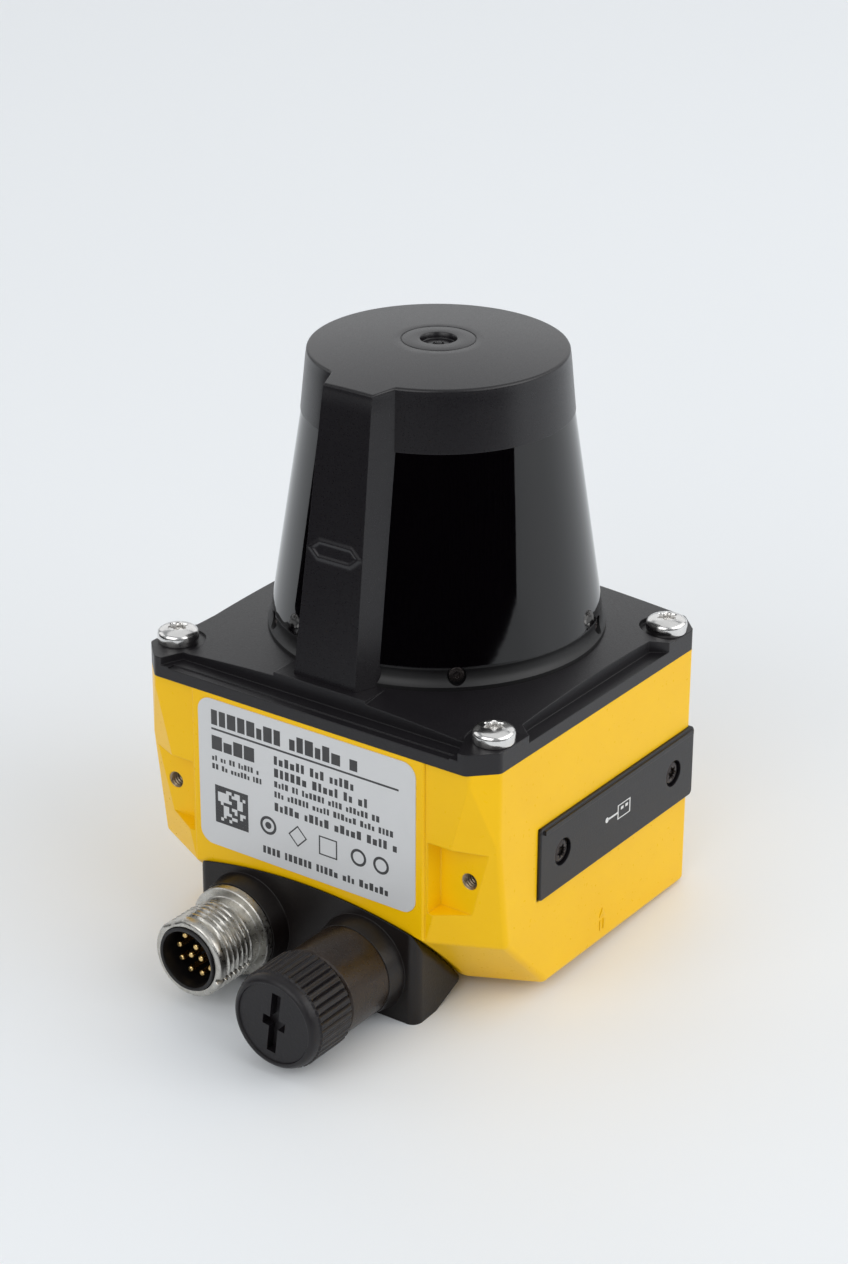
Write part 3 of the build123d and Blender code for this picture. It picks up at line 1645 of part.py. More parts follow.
with BuildPart() as socket_contacts:
    with BuildSketch(rear_plane(socket_x, socket_insert_end - 0.5, connector_height)):
        with Locations(*contact_places):
            Circle(pin_radius * 1.6)
            Circle(pin_radius, mode=Mode.SUBTRACT)
    extrude(amount=tail_end + 2 - socket_insert_end)

socket_contacts.part.label = "socket_contacts"
export_step(socket_contacts.part, "parts/socket_contacts.step")

with BuildPart() as plug_seal:
    with BuildSketch(rear_plane(socket_x, plug_back - plug_seal_proud, connector_height)):
        Circle(groove_radius - plug_stem_play)
        Circle(stem_radius + running_gap, mode=Mode.SUBTRACT)
    extrude(amount=plug_seal_width)

plug_seal.part.label = "plug_seal"
export_step(plug_seal.part, "parts/plug_seal.step")

with BuildPart() as socket_plug:
    with BuildSketch(rear_plane(socket_x, plug_back, connector_height)):
        Circle(plug_radius - ridge_depth)
        with PolarLocations(plug_radius - ridge_depth, plug_ridges):
            Rectangle(2 * ridge_depth, ridge_width)
    extrude(amount=plug_face - plug_rim - plug_back)
    with BuildSketch(rear_plane(socket_x, plug_face - plug_rim, connector_height)):
        Circle(plug_radius - ridge_depth)
    extrude(amount=plug_rim)
    fillet(socket_plug.edges().filter_by(GeomType.CIRCLE).group_by(Axis.Y)[-1], plug_rim * 0.8)
    with BuildSketch(rear_plane(socket_x, plug_face, connector_height)):
        Circle(plug_face_radius)
    extrude(amount=-plug_rim, mode=Mode.SUBTRACT)
    with BuildSketch(rear_plane(socket_x, plug_face - plug_rim, connector_height)):
        Rectangle(plug_slot_length, plug_slot_width)
        Rectangle(plug_slot_width, plug_cross_length)
    extrude(amount=-plug_slot_depth, mode=Mode.SUBTRACT)
    with BuildSketch(rear_plane(socket_x, plug_back, connector_height)):
        Circle(stem_radius)
    extrude(amount=-plug_stem)
    with BuildSketch(rear_plane(socket_x, plug_back - plug_stem, connector_height)):
        Circle(stem_bore)
    extrude(amount=plug_stem + stem_pocket, mode=Mode.SUBTRACT)
    with BuildSketch(rear_plane(socket_x, plug_back, connector_height)):
        Circle(groove_radius)
        Circle(stem_radius, mode=Mode.SUBTRACT)
    extrude(amount=plug_seal_width - plug_seal_proud + running_gap, mode=Mode.SUBTRACT)

socket_plug.part.label = "socket_plug"
export_step(socket_plug.part, "parts/socket_plug.step")

# Wires from the connector unit run up through the journal to the main board
with BuildPart() as harness_socket:
    with BuildSketch(Plane.XY.offset(board_height)):
        with Locations((0, harness_socket_y)):
            Rectangle(harness_socket_length, harness_socket_width)
    extrude(amount=-harness_socket_height)

harness_socket.part.label = "harness_socket"
export_step(harness_socket.part, "parts/harness_socket.step")

with BuildPart() as wire_harness:
    harness_start = swivel_point + swivel_direction * (wire_room / 2 - 1)
    harness_bend = swivel_point - swivel_direction * (dish_wall + journal_tail)
    harness_end = Vector(0, harness_socket_y + harness_socket_width / 2, board_height - harness_socket_height / 2)
    with BuildLine() as harness_path:
        Line(harness_start, harness_bend)
        Spline(harness_bend, harness_end, tangents=[swivel_direction * -1, Vector(0, -1, 0)])
    with BuildSketch(Plane(origin=harness_start, z_dir=swivel_direction * -1)):
        Circle(harness_radius)
    sweep(path=harness_path.line)

wire_harness.part.label = "wire_harness"
export_step(wire_harness.part, "parts/wire_harness.step")
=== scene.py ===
import bpy
import bmesh
import math
import random
from mathutils import Matrix, Vector
from mathutils.geometry import tessellate_polygon


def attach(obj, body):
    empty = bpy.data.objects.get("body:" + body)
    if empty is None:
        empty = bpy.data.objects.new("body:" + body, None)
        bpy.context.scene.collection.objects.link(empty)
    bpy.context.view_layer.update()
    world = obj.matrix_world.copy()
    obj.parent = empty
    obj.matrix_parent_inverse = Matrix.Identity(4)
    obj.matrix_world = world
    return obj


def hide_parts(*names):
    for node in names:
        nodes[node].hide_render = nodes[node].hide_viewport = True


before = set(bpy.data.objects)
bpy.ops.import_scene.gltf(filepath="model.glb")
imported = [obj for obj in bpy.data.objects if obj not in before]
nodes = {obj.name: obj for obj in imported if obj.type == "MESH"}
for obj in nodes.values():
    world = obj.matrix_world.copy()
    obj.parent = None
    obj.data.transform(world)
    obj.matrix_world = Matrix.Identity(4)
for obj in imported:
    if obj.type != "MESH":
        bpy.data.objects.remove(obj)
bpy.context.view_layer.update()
MM = 0.001
TURN = 2 * math.pi


# ---------------------------------------------------------------- materials
def new_material(name):
    mat = bpy.data.materials.new(name)
    mat.use_nodes = True
    tree = mat.node_tree
    tree.nodes.clear()
    out = tree.nodes.new("ShaderNodeOutputMaterial")
    bsdf = tree.nodes.new("ShaderNodeBsdfPrincipled")
    tree.links.new(bsdf.outputs["BSDF"], out.inputs["Surface"])
    coords = tree.nodes.new("ShaderNodeTexCoord")
    return mat, tree, bsdf, coords.outputs["Object"]


def noise(tree, coords, scale, detail=2.0, rough=0.5, stretch=None):
    node = tree.nodes.new("ShaderNodeTexNoise")
    node.inputs["Scale"].default_value = scale
    node.inputs["Detail"].default_value = detail
    node.inputs["Roughness"].default_value = rough
    if stretch:
        mapping = tree.nodes.new("ShaderNodeMapping")
        mapping.inputs["Scale"].default_value = stretch
        tree.links.new(coords, mapping.inputs["Vector"])
        coords = mapping.outputs["Vector"]
    tree.links.new(coords, node.inputs["Vector"])
    return node.outputs["Fac"]


def remap(tree, value, low, high, from_low=0.3, from_high=0.7):
    node = tree.nodes.new("ShaderNodeMapRange")
    node.inputs["From Min"].default_value = from_low
    node.inputs["From Max"].default_value = from_high
    node.inputs["To Min"].default_value = low
    node.inputs["To Max"].default_value = high
    tree.links.new(value, node.inputs["Value"])
    return node.outputs["Result"]


def blend(tree, factor, first, second):
    node = tree.nodes.new("ShaderNodeMix")
    node.data_type = "RGBA"
    node.inputs[6].default_value = (*first, 1.0)
    node.inputs[7].default_value = (*second, 1.0)
    tree.links.new(factor, node.inputs[0])
    return node.outputs[2]


def bump(tree, bsdf, height, distance, edge=0.0):
    """A grain in the normal, with edges rounded by the given radius."""
    node = tree.nodes.new("ShaderNodeBump")
    node.inputs["Distance"].default_value = distance
    tree.links.new(height, node.inputs["Height"])
    if edge:
        rounding = tree.nodes.new("ShaderNodeBevel")
        rounding.samples = 6
        rounding.inputs["Radius"].default_value = edge
        tree.links.new(rounding.outputs["Normal"], node.inputs["Normal"])
    tree.links.new(node.outputs["Normal"], bsdf.inputs["Normal"])


def surface(
    name, color, dark, rough, grain, depth,
    metallic=0.0, cloud=90.0, ior=1.5, coat=0.0, stretch=None, edge=0.0,
):
    """A finish with slow colour clouds, uneven gloss and a fine grain in its bump."""
    mat, tree, bsdf, coords = new_material(name)
    clouds = remap(tree, noise(tree, coords, cloud, 4.0, 0.6), 0.0, 1.0)
    tree.links.new(blend(tree, clouds, color, dark), bsdf.inputs["Base Color"])
    fine = noise(tree, coords, grain, 3.0, 0.55, stretch)
    tree.links.new(remap(tree, fine, rough[0], rough[1]), bsdf.inputs["Roughness"])
    bump(tree, bsdf, fine, depth, edge)
    bsdf.inputs["Metallic"].default_value = metallic
    bsdf.inputs["IOR"].default_value = ior
    if coat:
        bsdf.inputs["Coat Weight"].default_value = coat
        bsdf.inputs["Coat Roughness"].default_value = 0.18
    return mat


def hazy(name, scale, rough, first, second, settings):
    """A polished finish with a faint haze in its colour and gloss."""
    mat, tree, bsdf, coords = new_material(name)
    haze = noise(tree, coords, scale)
    tree.links.new(remap(tree, haze, rough[0], rough[1]), bsdf.inputs["Roughness"])
    tree.links.new(blend(tree, haze, first, second), bsdf.inputs["Base Color"])
    for socket, value in settings.items():
        bsdf.inputs[socket].default_value = value
    return mat


def window_finish(matt_below, gloss_above):
    """Glossy black, with a matt foot below the window's clear part."""
    mat, tree, bsdf, coords = new_material("window")
    haze = noise(tree, coords, 260, 3.0, 0.55)
    color = blend(tree, haze, (0.0007, 0.0004, 0.0008), (0.0010, 0.0006, 0.0011))
    tree.links.new(color, bsdf.inputs["Base Color"])
    place = tree.nodes.new("ShaderNodeSeparateXYZ")
    tree.links.new(coords, place.inputs["Vector"])
    foot = remap(tree, place.outputs["Z"], 0.42, 0.0, matt_below, gloss_above)
    total = tree.nodes.new("ShaderNodeMath")
    total.operation = "ADD"
    tree.links.new(remap(tree, haze, 0.025, 0.05), total.inputs[0])
    tree.links.new(foot, total.inputs[1])
    tree.links.new(total.outputs["Value"], bsdf.inputs["Roughness"])
    bump(tree, bsdf, haze, 0.000003)
    return mat


# Colour, second colour, roughness range, grain scale, grain depth, other settings
SURFACES = {
    "paint": (
        (0.93, 0.545, 0.0015), (0.90, 0.515, 0.001), (0.27, 0.34), 1500, 0.000003,
        dict(ior=1.33, edge=0.0003),
    ),
    "grained": (
        (0.0044, 0.0034, 0.0050), (0.0064, 0.0051, 0.0068), (0.33, 0.45), 4200, 0.000024,
        dict(edge=0.0002),
    ),
    "smooth_black": (
        (0.0038, 0.0028, 0.0044), (0.0052, 0.0040, 0.0056), (0.26, 0.34), 5200, 0.000006,
        dict(edge=0.00012),
    ),
    "cast_black": (
        (0.0055, 0.0038, 0.0036), (0.0085, 0.0058, 0.0050), (0.30, 0.42), 2600, 0.000022,
        dict(ior=1.42, edge=0.0002),
    ),
    "sleeve_black": (
        (0.016, 0.0095, 0.0062), (0.026, 0.015, 0.0085), (0.25, 0.38), 3200, 0.00002,
        dict(metallic=0.25, cloud=260, edge=0.0002),
    ),
    "knurl_black": (
        (0.0060, 0.0047, 0.0060), (0.0088, 0.0070, 0.0086), (0.34, 0.48), 3600, 0.000025,
        dict(ior=1.42),
    ),
    "insert_black": (
        (0.0030, 0.0024, 0.0030), (0.0045, 0.0036, 0.0042), (0.38, 0.50), 4000, 0.00001,
        dict(),
    ),
    "rubber": (
        (0.010, 0.010, 0.010), (0.014, 0.014, 0.014), (0.55, 0.70), 3000, 0.00003,
        dict(),
    ),
    "steel": (
        (0.80, 0.79, 0.775), (0.72, 0.71, 0.695), (0.15, 0.24), 1500, 0.000002,
        dict(metallic=1.0, cloud=420),
    ),
    "dark_steel": (
        (0.040, 0.034, 0.034), (0.065, 0.055, 0.052), (0.22, 0.36), 3000, 0.00001,
        dict(metallic=0.9, cloud=500),
    ),
    "nickel": (
        (0.62, 0.605, 0.565), (0.44, 0.425, 0.39), (0.22, 0.42), 1700, 0.00002,
        dict(metallic=1.0, cloud=700),
    ),
    "thread_steel": (
        (0.42, 0.34, 0.24), (0.24, 0.18, 0.12), (0.26, 0.44), 3000, 0.00001,
        dict(metallic=0.9, cloud=900),
    ),
    "gold": (
        (0.84, 0.60, 0.26), (0.78, 0.54, 0.22), (0.18, 0.28), 4000, 0.000005,
        dict(metallic=1.0, cloud=900),
    ),
    "brass": (
        (0.68, 0.48, 0.20), (0.60, 0.42, 0.18), (0.26, 0.38), 3000, 0.00001,
        dict(metallic=1.0, cloud=400),
    ),
    "copper": (
        (0.60, 0.24, 0.09), (0.48, 0.17, 0.06), (0.25, 0.40), 3500, 0.00003,
        dict(metallic=0.9, stretch=(1, 1, 6)),
    ),
    "alloy": (
        (0.68, 0.68, 0.69), (0.60, 0.60, 0.61), (0.26, 0.40), 2400, 0.00001,
        dict(metallic=1.0, cloud=300),
    ),
    "magnet": (
        (0.07, 0.07, 0.075), (0.09, 0.09, 0.095), (0.45, 0.60), 3600, 0.00003,
        dict(),
    ),
    "board": (
        (0.012, 0.085, 0.030), (0.010, 0.065, 0.024), (0.28, 0.40), 1600, 0.00001,
        dict(coat=0.3),
    ),
    "chip": (
        (0.014, 0.014, 0.015), (0.020, 0.020, 0.021), (0.50, 0.62), 3600, 0.00002,
        dict(),
    ),
    "ivory": (
        (0.66, 0.64, 0.56), (0.60, 0.58, 0.50), (0.38, 0.50), 2600, 0.00001,
        dict(),
    ),
    "amber": (
        (0.42, 0.18, 0.025), (0.35, 0.14, 0.02), (0.22, 0.34), 2200, 0.00001,
        dict(),
    ),
    "pipe": (
        (0.62, 0.66, 0.66), (0.55, 0.60, 0.60), (0.14, 0.22), 1600, 0.000005,
        dict(),
    ),
    "cable": (
        (0.020, 0.020, 0.022), (0.028, 0.028, 0.030), (0.48, 0.62), 2600, 0.00004,
        dict(stretch=(1, 6, 1)),
    ),
    "film": (
        (0.66, 0.665, 0.67), (0.63, 0.635, 0.64), (0.32, 0.42), 900, 0.000002,
        dict(metallic=0.12, cloud=45),
    ),
    "ink": (
        (0.035, 0.035, 0.037), (0.055, 0.055, 0.057), (0.40, 0.52), 3000, 0.000004,
        dict(),
    ),
    "white_ink": (
        (0.74, 0.74, 0.73), (0.66, 0.66, 0.65), (0.40, 0.52), 3000, 0.000004,
        dict(),
    ),
}
materials = {}
for name, (*values, settings) in SURFACES.items():
    materials[name] = surface(name, *values, **settings)
materials["window"] = window_finish(matt_below=0.0460, gloss_above=0.0464)
materials["mirror_coat"] = hazy(
    "mirror_coat", 300, (0.01, 0.03), (0.9, 0.9, 0.9), (0.88, 0.88, 0.89), {"Metallic": 1.0}
)
materials["lens_red"] = hazy(
    "lens_red", 200, (0.02, 0.05), (0.40, 0.03, 0.04), (0.34, 0.02, 0.03),
    {"Transmission Weight": 0.85, "IOR": 1.5},
)

# Which of the part's nodes has which material
FINISHES = {
    "paint": "housing",
    "rubber": "cover_gasket hood_seal service_seal swivel_seal plug_seal",
    "grained": "cover_plate service_cover",
    "steel": "cover_screws motor_screws shaft_bearings motor_shaft motor_stator rotor_cup"
    " carrier_screws board_screws service_socket retaining_ring",
    "smooth_black": "hood_frame mirror_holder optics_carrier",
    "window": "hood_window",
    "dark_steel": "hood_screws service_screws",
    "alloy": "motor_base",
    "copper": "stator_windings",
    "magnet": "rotor_magnet",
    "insert_black": "encoder_disc signal_insert socket_insert",
    "chip": "encoder_fork detector processor board_header",
    "mirror_coat": "mirror",
    "lens_red": "receiver_lens",
    "brass": "laser_module",
    "board": "receiver_board main_board light_board",
    "ivory": "flex_socket harness_socket",
    "amber": "motor_flex",
    "pipe": "status_lights",
    "film": "rear_label",
    "cast_black": "connector_block",
    "nickel": "signal_shell",
    "gold": "signal_pins socket_contacts",
    "sleeve_black": "socket_sleeve",
    "knurl_black": "socket_plug",
    "cable": "wire_harness",
}
for finish, names in FINISHES.items():
    for name in names.split():
        mesh = nodes[name].data
        mesh.materials.clear()
        mesh.materials.append(materials[finish])


# ------------------------------------------------------------------ pieces
SHARP_ANGLE = math.radians(35)


def make_piece(name, verts, faces, finish, body="scanner", smooth=True, node=None):
    """A visible piece that rides on a body, in place of a node if given."""
    mesh = bpy.data.meshes.new(name)
    mesh.from_pydata(verts, [], faces)
    mesh.update()
    bm = bmesh.new()
    bm.from_mesh(mesh)
    bmesh.ops.recalc_face_normals(bm, faces=bm.faces)
    bm.to_mesh(mesh)
    bm.free()
    if smooth:
        mesh.shade_smooth()
        mesh.set_sharp_from_angle(angle=SHARP_ANGLE)
    mesh.materials.append(materials[finish])
    obj = bpy.data.objects.new(name, mesh)
    bpy.context.scene.collection.objects.link(obj)
    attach(obj, body)
    if node:
        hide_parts(node)


def turned(rings, segments, verts, faces, place):
    """Adds rings of points joined into a skin. Each is a function of the angle, or one point."""
    rows = []
    for ring in rings:
        start = len(verts)
        if callable(ring):
            for i in range(segments):
                verts.append(place(*ring(TURN * i / segments)))
            rows.append((start, segments))
        else:
            verts.append(place(*ring))
            rows.append((start, 1))
    for (a, na), (b, nb) in zip(rows, rows[1:]):
        for i in range(segments):
            j = (i + 1) % segments
            if na == 1:
                faces.append((a, b + i, b + j))
            elif nb == 1:
                faces.append((a + i, b, a + j))
            else:
                faces.append((a + i, b + i, b + j, a + j))


def along_y(verts, faces, centre, profile, segments):
    """Turns a profile of radius and y about an axis along Y. A radius may depend on the angle."""
    cx, cz = centre
    rings = []
    for radius, y in profile:
        if callable(radius):
            rings.append(lambda t, radius=radius, y=y: (radius(t), y, t))
        elif radius == 0:
            rings.append((0, y, 0))
        else:
            rings.append(lambda t, radius=radius, y=y: (radius, y, t))

    def place(r, y, t):
        return ((cx + r * math.cos(t)) * MM, y * MM, (cz + r * math.sin(t)) * MM)

    turned(rings, segments, verts, faces, place)


def angle_off(t, middle):
    """Signed angle from the middle, between minus and plus half a turn."""
    return math.atan2(math.sin(t - middle), math.cos(t - middle))


# ------------------------------------------------------------------- screws
DRIVE_POINTS = 6
DRIVE_CHAMFER = 0.10
DOME_RINGS = 8
DOME_POWER = 2.4


def screw_rings(head, side, top, drive, waist, depth, shank, length):
    """Rings of a domed screw with a star recess. Local Z points out of the head."""
    mid, swing = (drive + waist) / 2, (drive - waist) / 2

    def star(t):
        return mid + swing * math.cos(DRIVE_POINTS * t)

    def dome(r):
        return side + (top - side) * math.sqrt(max(0.0, 1 - (r / head) ** DOME_POWER))

    def polar(radius_of, height):
        return lambda t: (radius_of(t) * math.cos(t), radius_of(t) * math.sin(t), height)

    def circle(radius, height):
        return polar(lambda t: radius, height)

    rings = [
        (0, 0, top - depth - 0.12),
        polar(lambda t: star(t) * 0.55, top - depth),
        polar(lambda t: star(t) * 0.97, top - depth),
        polar(star, dome(drive) - 0.10),
        polar(lambda t: star(t) + DRIVE_CHAMFER, dome(drive) + 0.02),
    ]
    for k in range(1, DOME_RINGS + 1):
        share = k / DOME_RINGS

        def ring(t, share=share):
            r = (star(t) + DRIVE_CHAMFER) * (1 - share) + head * 0.985 * share
            return (r * math.cos(t), r * math.sin(t), dome(r))

        rings.append(ring)
    rings += [
        circle(head, side * 0.92),
        circle(head, side * 0.25),
        circle(head * 0.97, side * 0.04),
        circle(head * 0.93, 0.0),
        circle(shank, 0.0),
        circle(shank, -length + 0.3),
        circle(shank - 0.25, -length),
        (0, 0, -length),
    ]
    return rings


def screws(name, places, sizes, finish, node, segments):
    """Screws at (origin, direction out of the head, turn of the recess) in place of a node."""
    verts, faces = [], []
    rings = screw_rings(**sizes)
    for origin, out, spin in places:
        out = Vector(out).normalized()
        side = Vector((0, 0, 1)) if abs(out.z) < 0.9 else Vector((1, 0, 0))
        across = side.cross(out).normalized()
        up = out.cross(across).normalized()
        u = across * math.cos(spin) + up * math.sin(spin)
        v = out.cross(u)
        base = Vector(origin)

        def place(x, y, z, u=u, v=v, out=out, base=base):
            return tuple((base + u * x + v * y + out * z) * MM)

        turned(rings, segments, verts, faces, place)
    make_piece(name, verts, faces, finish, node=node)


HOOD_Y = -3.3
COVER_SCREW_X, COVER_SCREW_Y, COVER_TOP = 27.5, 22.2, 41.6
HOOD_SCREW_ANGLES = (48, 132, 200, 270, 340)
HOOD_SCREW_RADIUS, HOOD_SCREW_Z = 23.2, 45.1
SERVICE_SCREW_Y, SERVICE_FACE_X, SERVICE_Z = (-19.9, 9.7), -30.1, 20.3


def hood_screw(angle):
    way_x, way_y = math.cos(math.radians(angle)), math.sin(math.radians(angle))
    origin = (HOOD_SCREW_RADIUS * way_x, HOOD_Y + HOOD_SCREW_RADIUS * way_y, HOOD_SCREW_Z)
    return (origin, (way_x, way_y, 0), random.uniform(0, 1))


random.seed(11)
screws(
    "cover_screw_heads",
    [
        ((sx * COVER_SCREW_X, sy * COVER_SCREW_Y, COVER_TOP), (0, 0, 1), random.uniform(0, 1))
        for sx in (-1, 1)
        for sy in (-1, 1)
    ],
    dict(
        head=3.0, side=1.35, top=2.38, drive=1.42, waist=1.02, depth=1.05, shank=1.5, length=12.0
    ),
    "steel",
    "cover_screws",
    72,
)
screws(
    "hood_screw_heads",
    [hood_screw(angle) for angle in HOOD_SCREW_ANGLES],
    dict(
        head=1.12, side=0.24, top=0.42, drive=0.52, waist=0.40, depth=0.30, shank=0.8, length=2.5
    ),
    "dark_steel",
    "hood_screws",
    48,
)
screws(
    "service_screw_heads",
    [((SERVICE_FACE_X, y, SERVICE_Z), (-1, 0, 0), random.uniform(0, 1)) for y in SERVICE_SCREW_Y],
    dict(
        head=1.7, side=0.45, top=0.7, drive=0.98, waist=0.68, depth=0.52, shank=0.8, length=4.1
    ),
    "dark_steel",
    "service_screws",
    60,
)


# ------------------------------------------------------- round connectors
SIGNAL_AXIS = (10.2, 4.4)
PLUG_AXIS = (-10.2, 4.4)


# Threaded metal shell of the signal connector, with a flat and a keying groove along it
def shell_piece():
    thread_start, thread_end, pitch, steps = 35.0, 41.3, 1.0, 12
    root, crest, mean, swing = 5.47, 6.0, 5.76, 0.42
    run_out = 38.0
    flat_angle, flat_reach, flat_drop = math.radians(60), 5.6, 0.36
    groove_angle, groove_half, groove_radius = math.radians(200), 0.05, 5.30
    inside, mouth_inside, back = 4.9, 4.98, 26.4

    def cut(r, t, reach):
        """The radius after the flat at its reach and the groove."""
        turn = math.cos(t - flat_angle)
        if turn > 0.5:
            r = min(r, reach / turn)
        if abs(angle_off(t, groove_angle)) < groove_half:
            r = min(r, groove_radius)
        return r

    def thread(y):
        fade = max(0.0, min(1.0, (y - thread_start) / 0.5, (thread_end - y) / 0.35))
        floor = root if y < run_out else 5.62 + 0.33 * min(1.0, max(0.0, (y - 40.6) / 0.7))

        def radius(t):
            r = min(crest, max(root, mean + swing * math.cos(TURN * (y / pitch - t / TURN))))
            return cut(max(floor, root + (r - root) * fade), t, flat_reach)

        return radius

    def land(radius):
        return lambda t: cut(radius, t, radius - flat_drop)

    profile = [(5.0, back), (5.28, back), (5.28, 31.8), (6.6, 31.8), (6.8, 31.95), (6.8, 33.05)]
    profile += [(6.65, 33.2), (5.6, 33.2), (5.46, 33.35), (5.46, 34.9)]
    rows = int((thread_end - thread_start) / pitch * steps)
    for k in range(rows + 1):
        y = thread_start + (thread_end - thread_start) * k / rows
        profile.append((thread(y), y))
    profile += [(land(5.96), 41.5), (land(5.96), 42.2), (land(5.86), 42.4), (land(5.66), 42.55)]
    profile += [(5.28, 42.6), (mouth_inside, 42.6), (inside, 42.45), (inside, back), (5.0, back)]
    verts, faces = [], []
    along_y(verts, faces, SIGNAL_AXIS, profile, 144)
    make_piece(
        "signal_shell_threaded", verts, faces, "nickel", "connector_unit",
        node="signal_shell",
    )


shell_piece()


# Threads in the two rear fixing holes
def hole_threads():
    hole_x, hole_z, mouth, depth, pitch, rows = 26.0, 20.9, 25.25, 5.4, 0.5, 96
    radius, swing = 1.13, 0.10

    def thread(y):
        return lambda t: radius + swing * math.cos(TURN * (y / pitch + t / TURN))

    profile = [(1.32, 25.38), (1.24, 25.30)]
    for k in range(rows + 1):
        y = mouth - depth * k / rows
        profile.append((thread(y), y))
    profile.append((0, 19.75))
    verts, faces = [], []
    for cx in (-hole_x, hole_x):
        along_y(verts, faces, (cx, hole_z), profile, 40)
    make_piece("fixing_threads", verts, faces, "thread_steel")


hole_threads()


# ---------------------------------------------------------------- hood shell
# Cap and pillar of the hood: one moulding under one crown
CROWN_RADIUS = 154.4
HOOD_TOP = 86.0
CAP_FOOT = 76.0
CAP_FOOT_RADIUS = 19.4
CAP_SLOPE = 0.1
CAP_BORE = 17.6
RIM_BEND = 0.42
PILLAR_FOOT = 43.0
FACE_STEPS = 80
SIDE_STEPS = 4
MARK_HEIGHT = 0.12
MARK_Z = 61.7


def crown(r):
    return HOOD_TOP - CROWN_RADIUS + math.sqrt(CROWN_RADIUS ** 2 - r ** 2)


def cap_radius(z):
    return CAP_FOOT_RADIUS - CAP_SLOPE * (z - CAP_FOOT)


def pillar_corners(z):
    """Outer corner and inner corner of the pillar's level section, from the hood's axis."""
    share = (z - PILLAR_FOOT) / (HOOD_TOP - PILLAR_FOOT)
    half = 5.3 - 1.24 * share
    out = 23.7 - 5.98 * share - HOOD_Y
    inner = 19.35 - 5.93 * share - HOOD_Y
    return (half, out), (half + 1.65, inner)


def cap_share(z):
    """How far along the pillar's side the cap's circle is met."""
    (x0, y0), (x1, y1) = pillar_corners(z)
    low, high = 0.0, 1.0
    for _ in range(30):
        mid = (low + high) / 2
        if math.hypot(x0 + (x1 - x0) * mid, y0 + (y1 - y0) * mid) > cap_radius(z):
            low = mid
        else:
            high = mid
    return low


def pillar_path(z, share):
    """Points round the pillar's outside, from the cap on -X over the outer face to +X."""
    (x0, y0), (x1, y1) = pillar_corners(z)
    side = []
    for k in range(SIDE_STEPS + 1):
        part = share * k / SIDE_STEPS
        side.append((x0 + (x1 - x0) * part, y0 + (y1 - y0) * part))
    face = [(-x0 + 2 * x0 * k / FACE_STEPS, y0) for k in range(1, FACE_STEPS)]
    return [(-x, y) for x, y in reversed(side)] + face + side


def mark_height(x, z):
    """Height of the soft bead round a long hexagon on the pillar's outer face."""
    x, z = abs(x), abs(z - MARK_Z)
    edge = max(z - 1.1, ((x - 2.7) * 1.1 + z * 1.3 - 1.43) / math.hypot(1.1, 1.3))
    width = 0.40 if edge > 0 else 0.24
    return MARK_HEIGHT * math.exp(-((edge / width) ** 2))


# Radius and depth below the crown, from the disc line in to the bottom of the middle recess
CENTRE_PROFILE = (
    (5.36, 0.02), (5.32, 0.13), (5.20, 0.13), (5.14, 0.02), (5.06, 0.0), (4.0, 0.0),
    (2.78, 0.0), (2.66, 0.03), (2.58, 0.14), (2.52, 0.85), (2.42, 0.95), (1.62, 0.95),
    (1.56, 0.82), (1.05, 0.78), (0.80, 0.80), (0.74, 1.0), (0.56, 1.0), (0.50, 0.72),
    (0.38, 0.62), (0.18, 0.58),
)


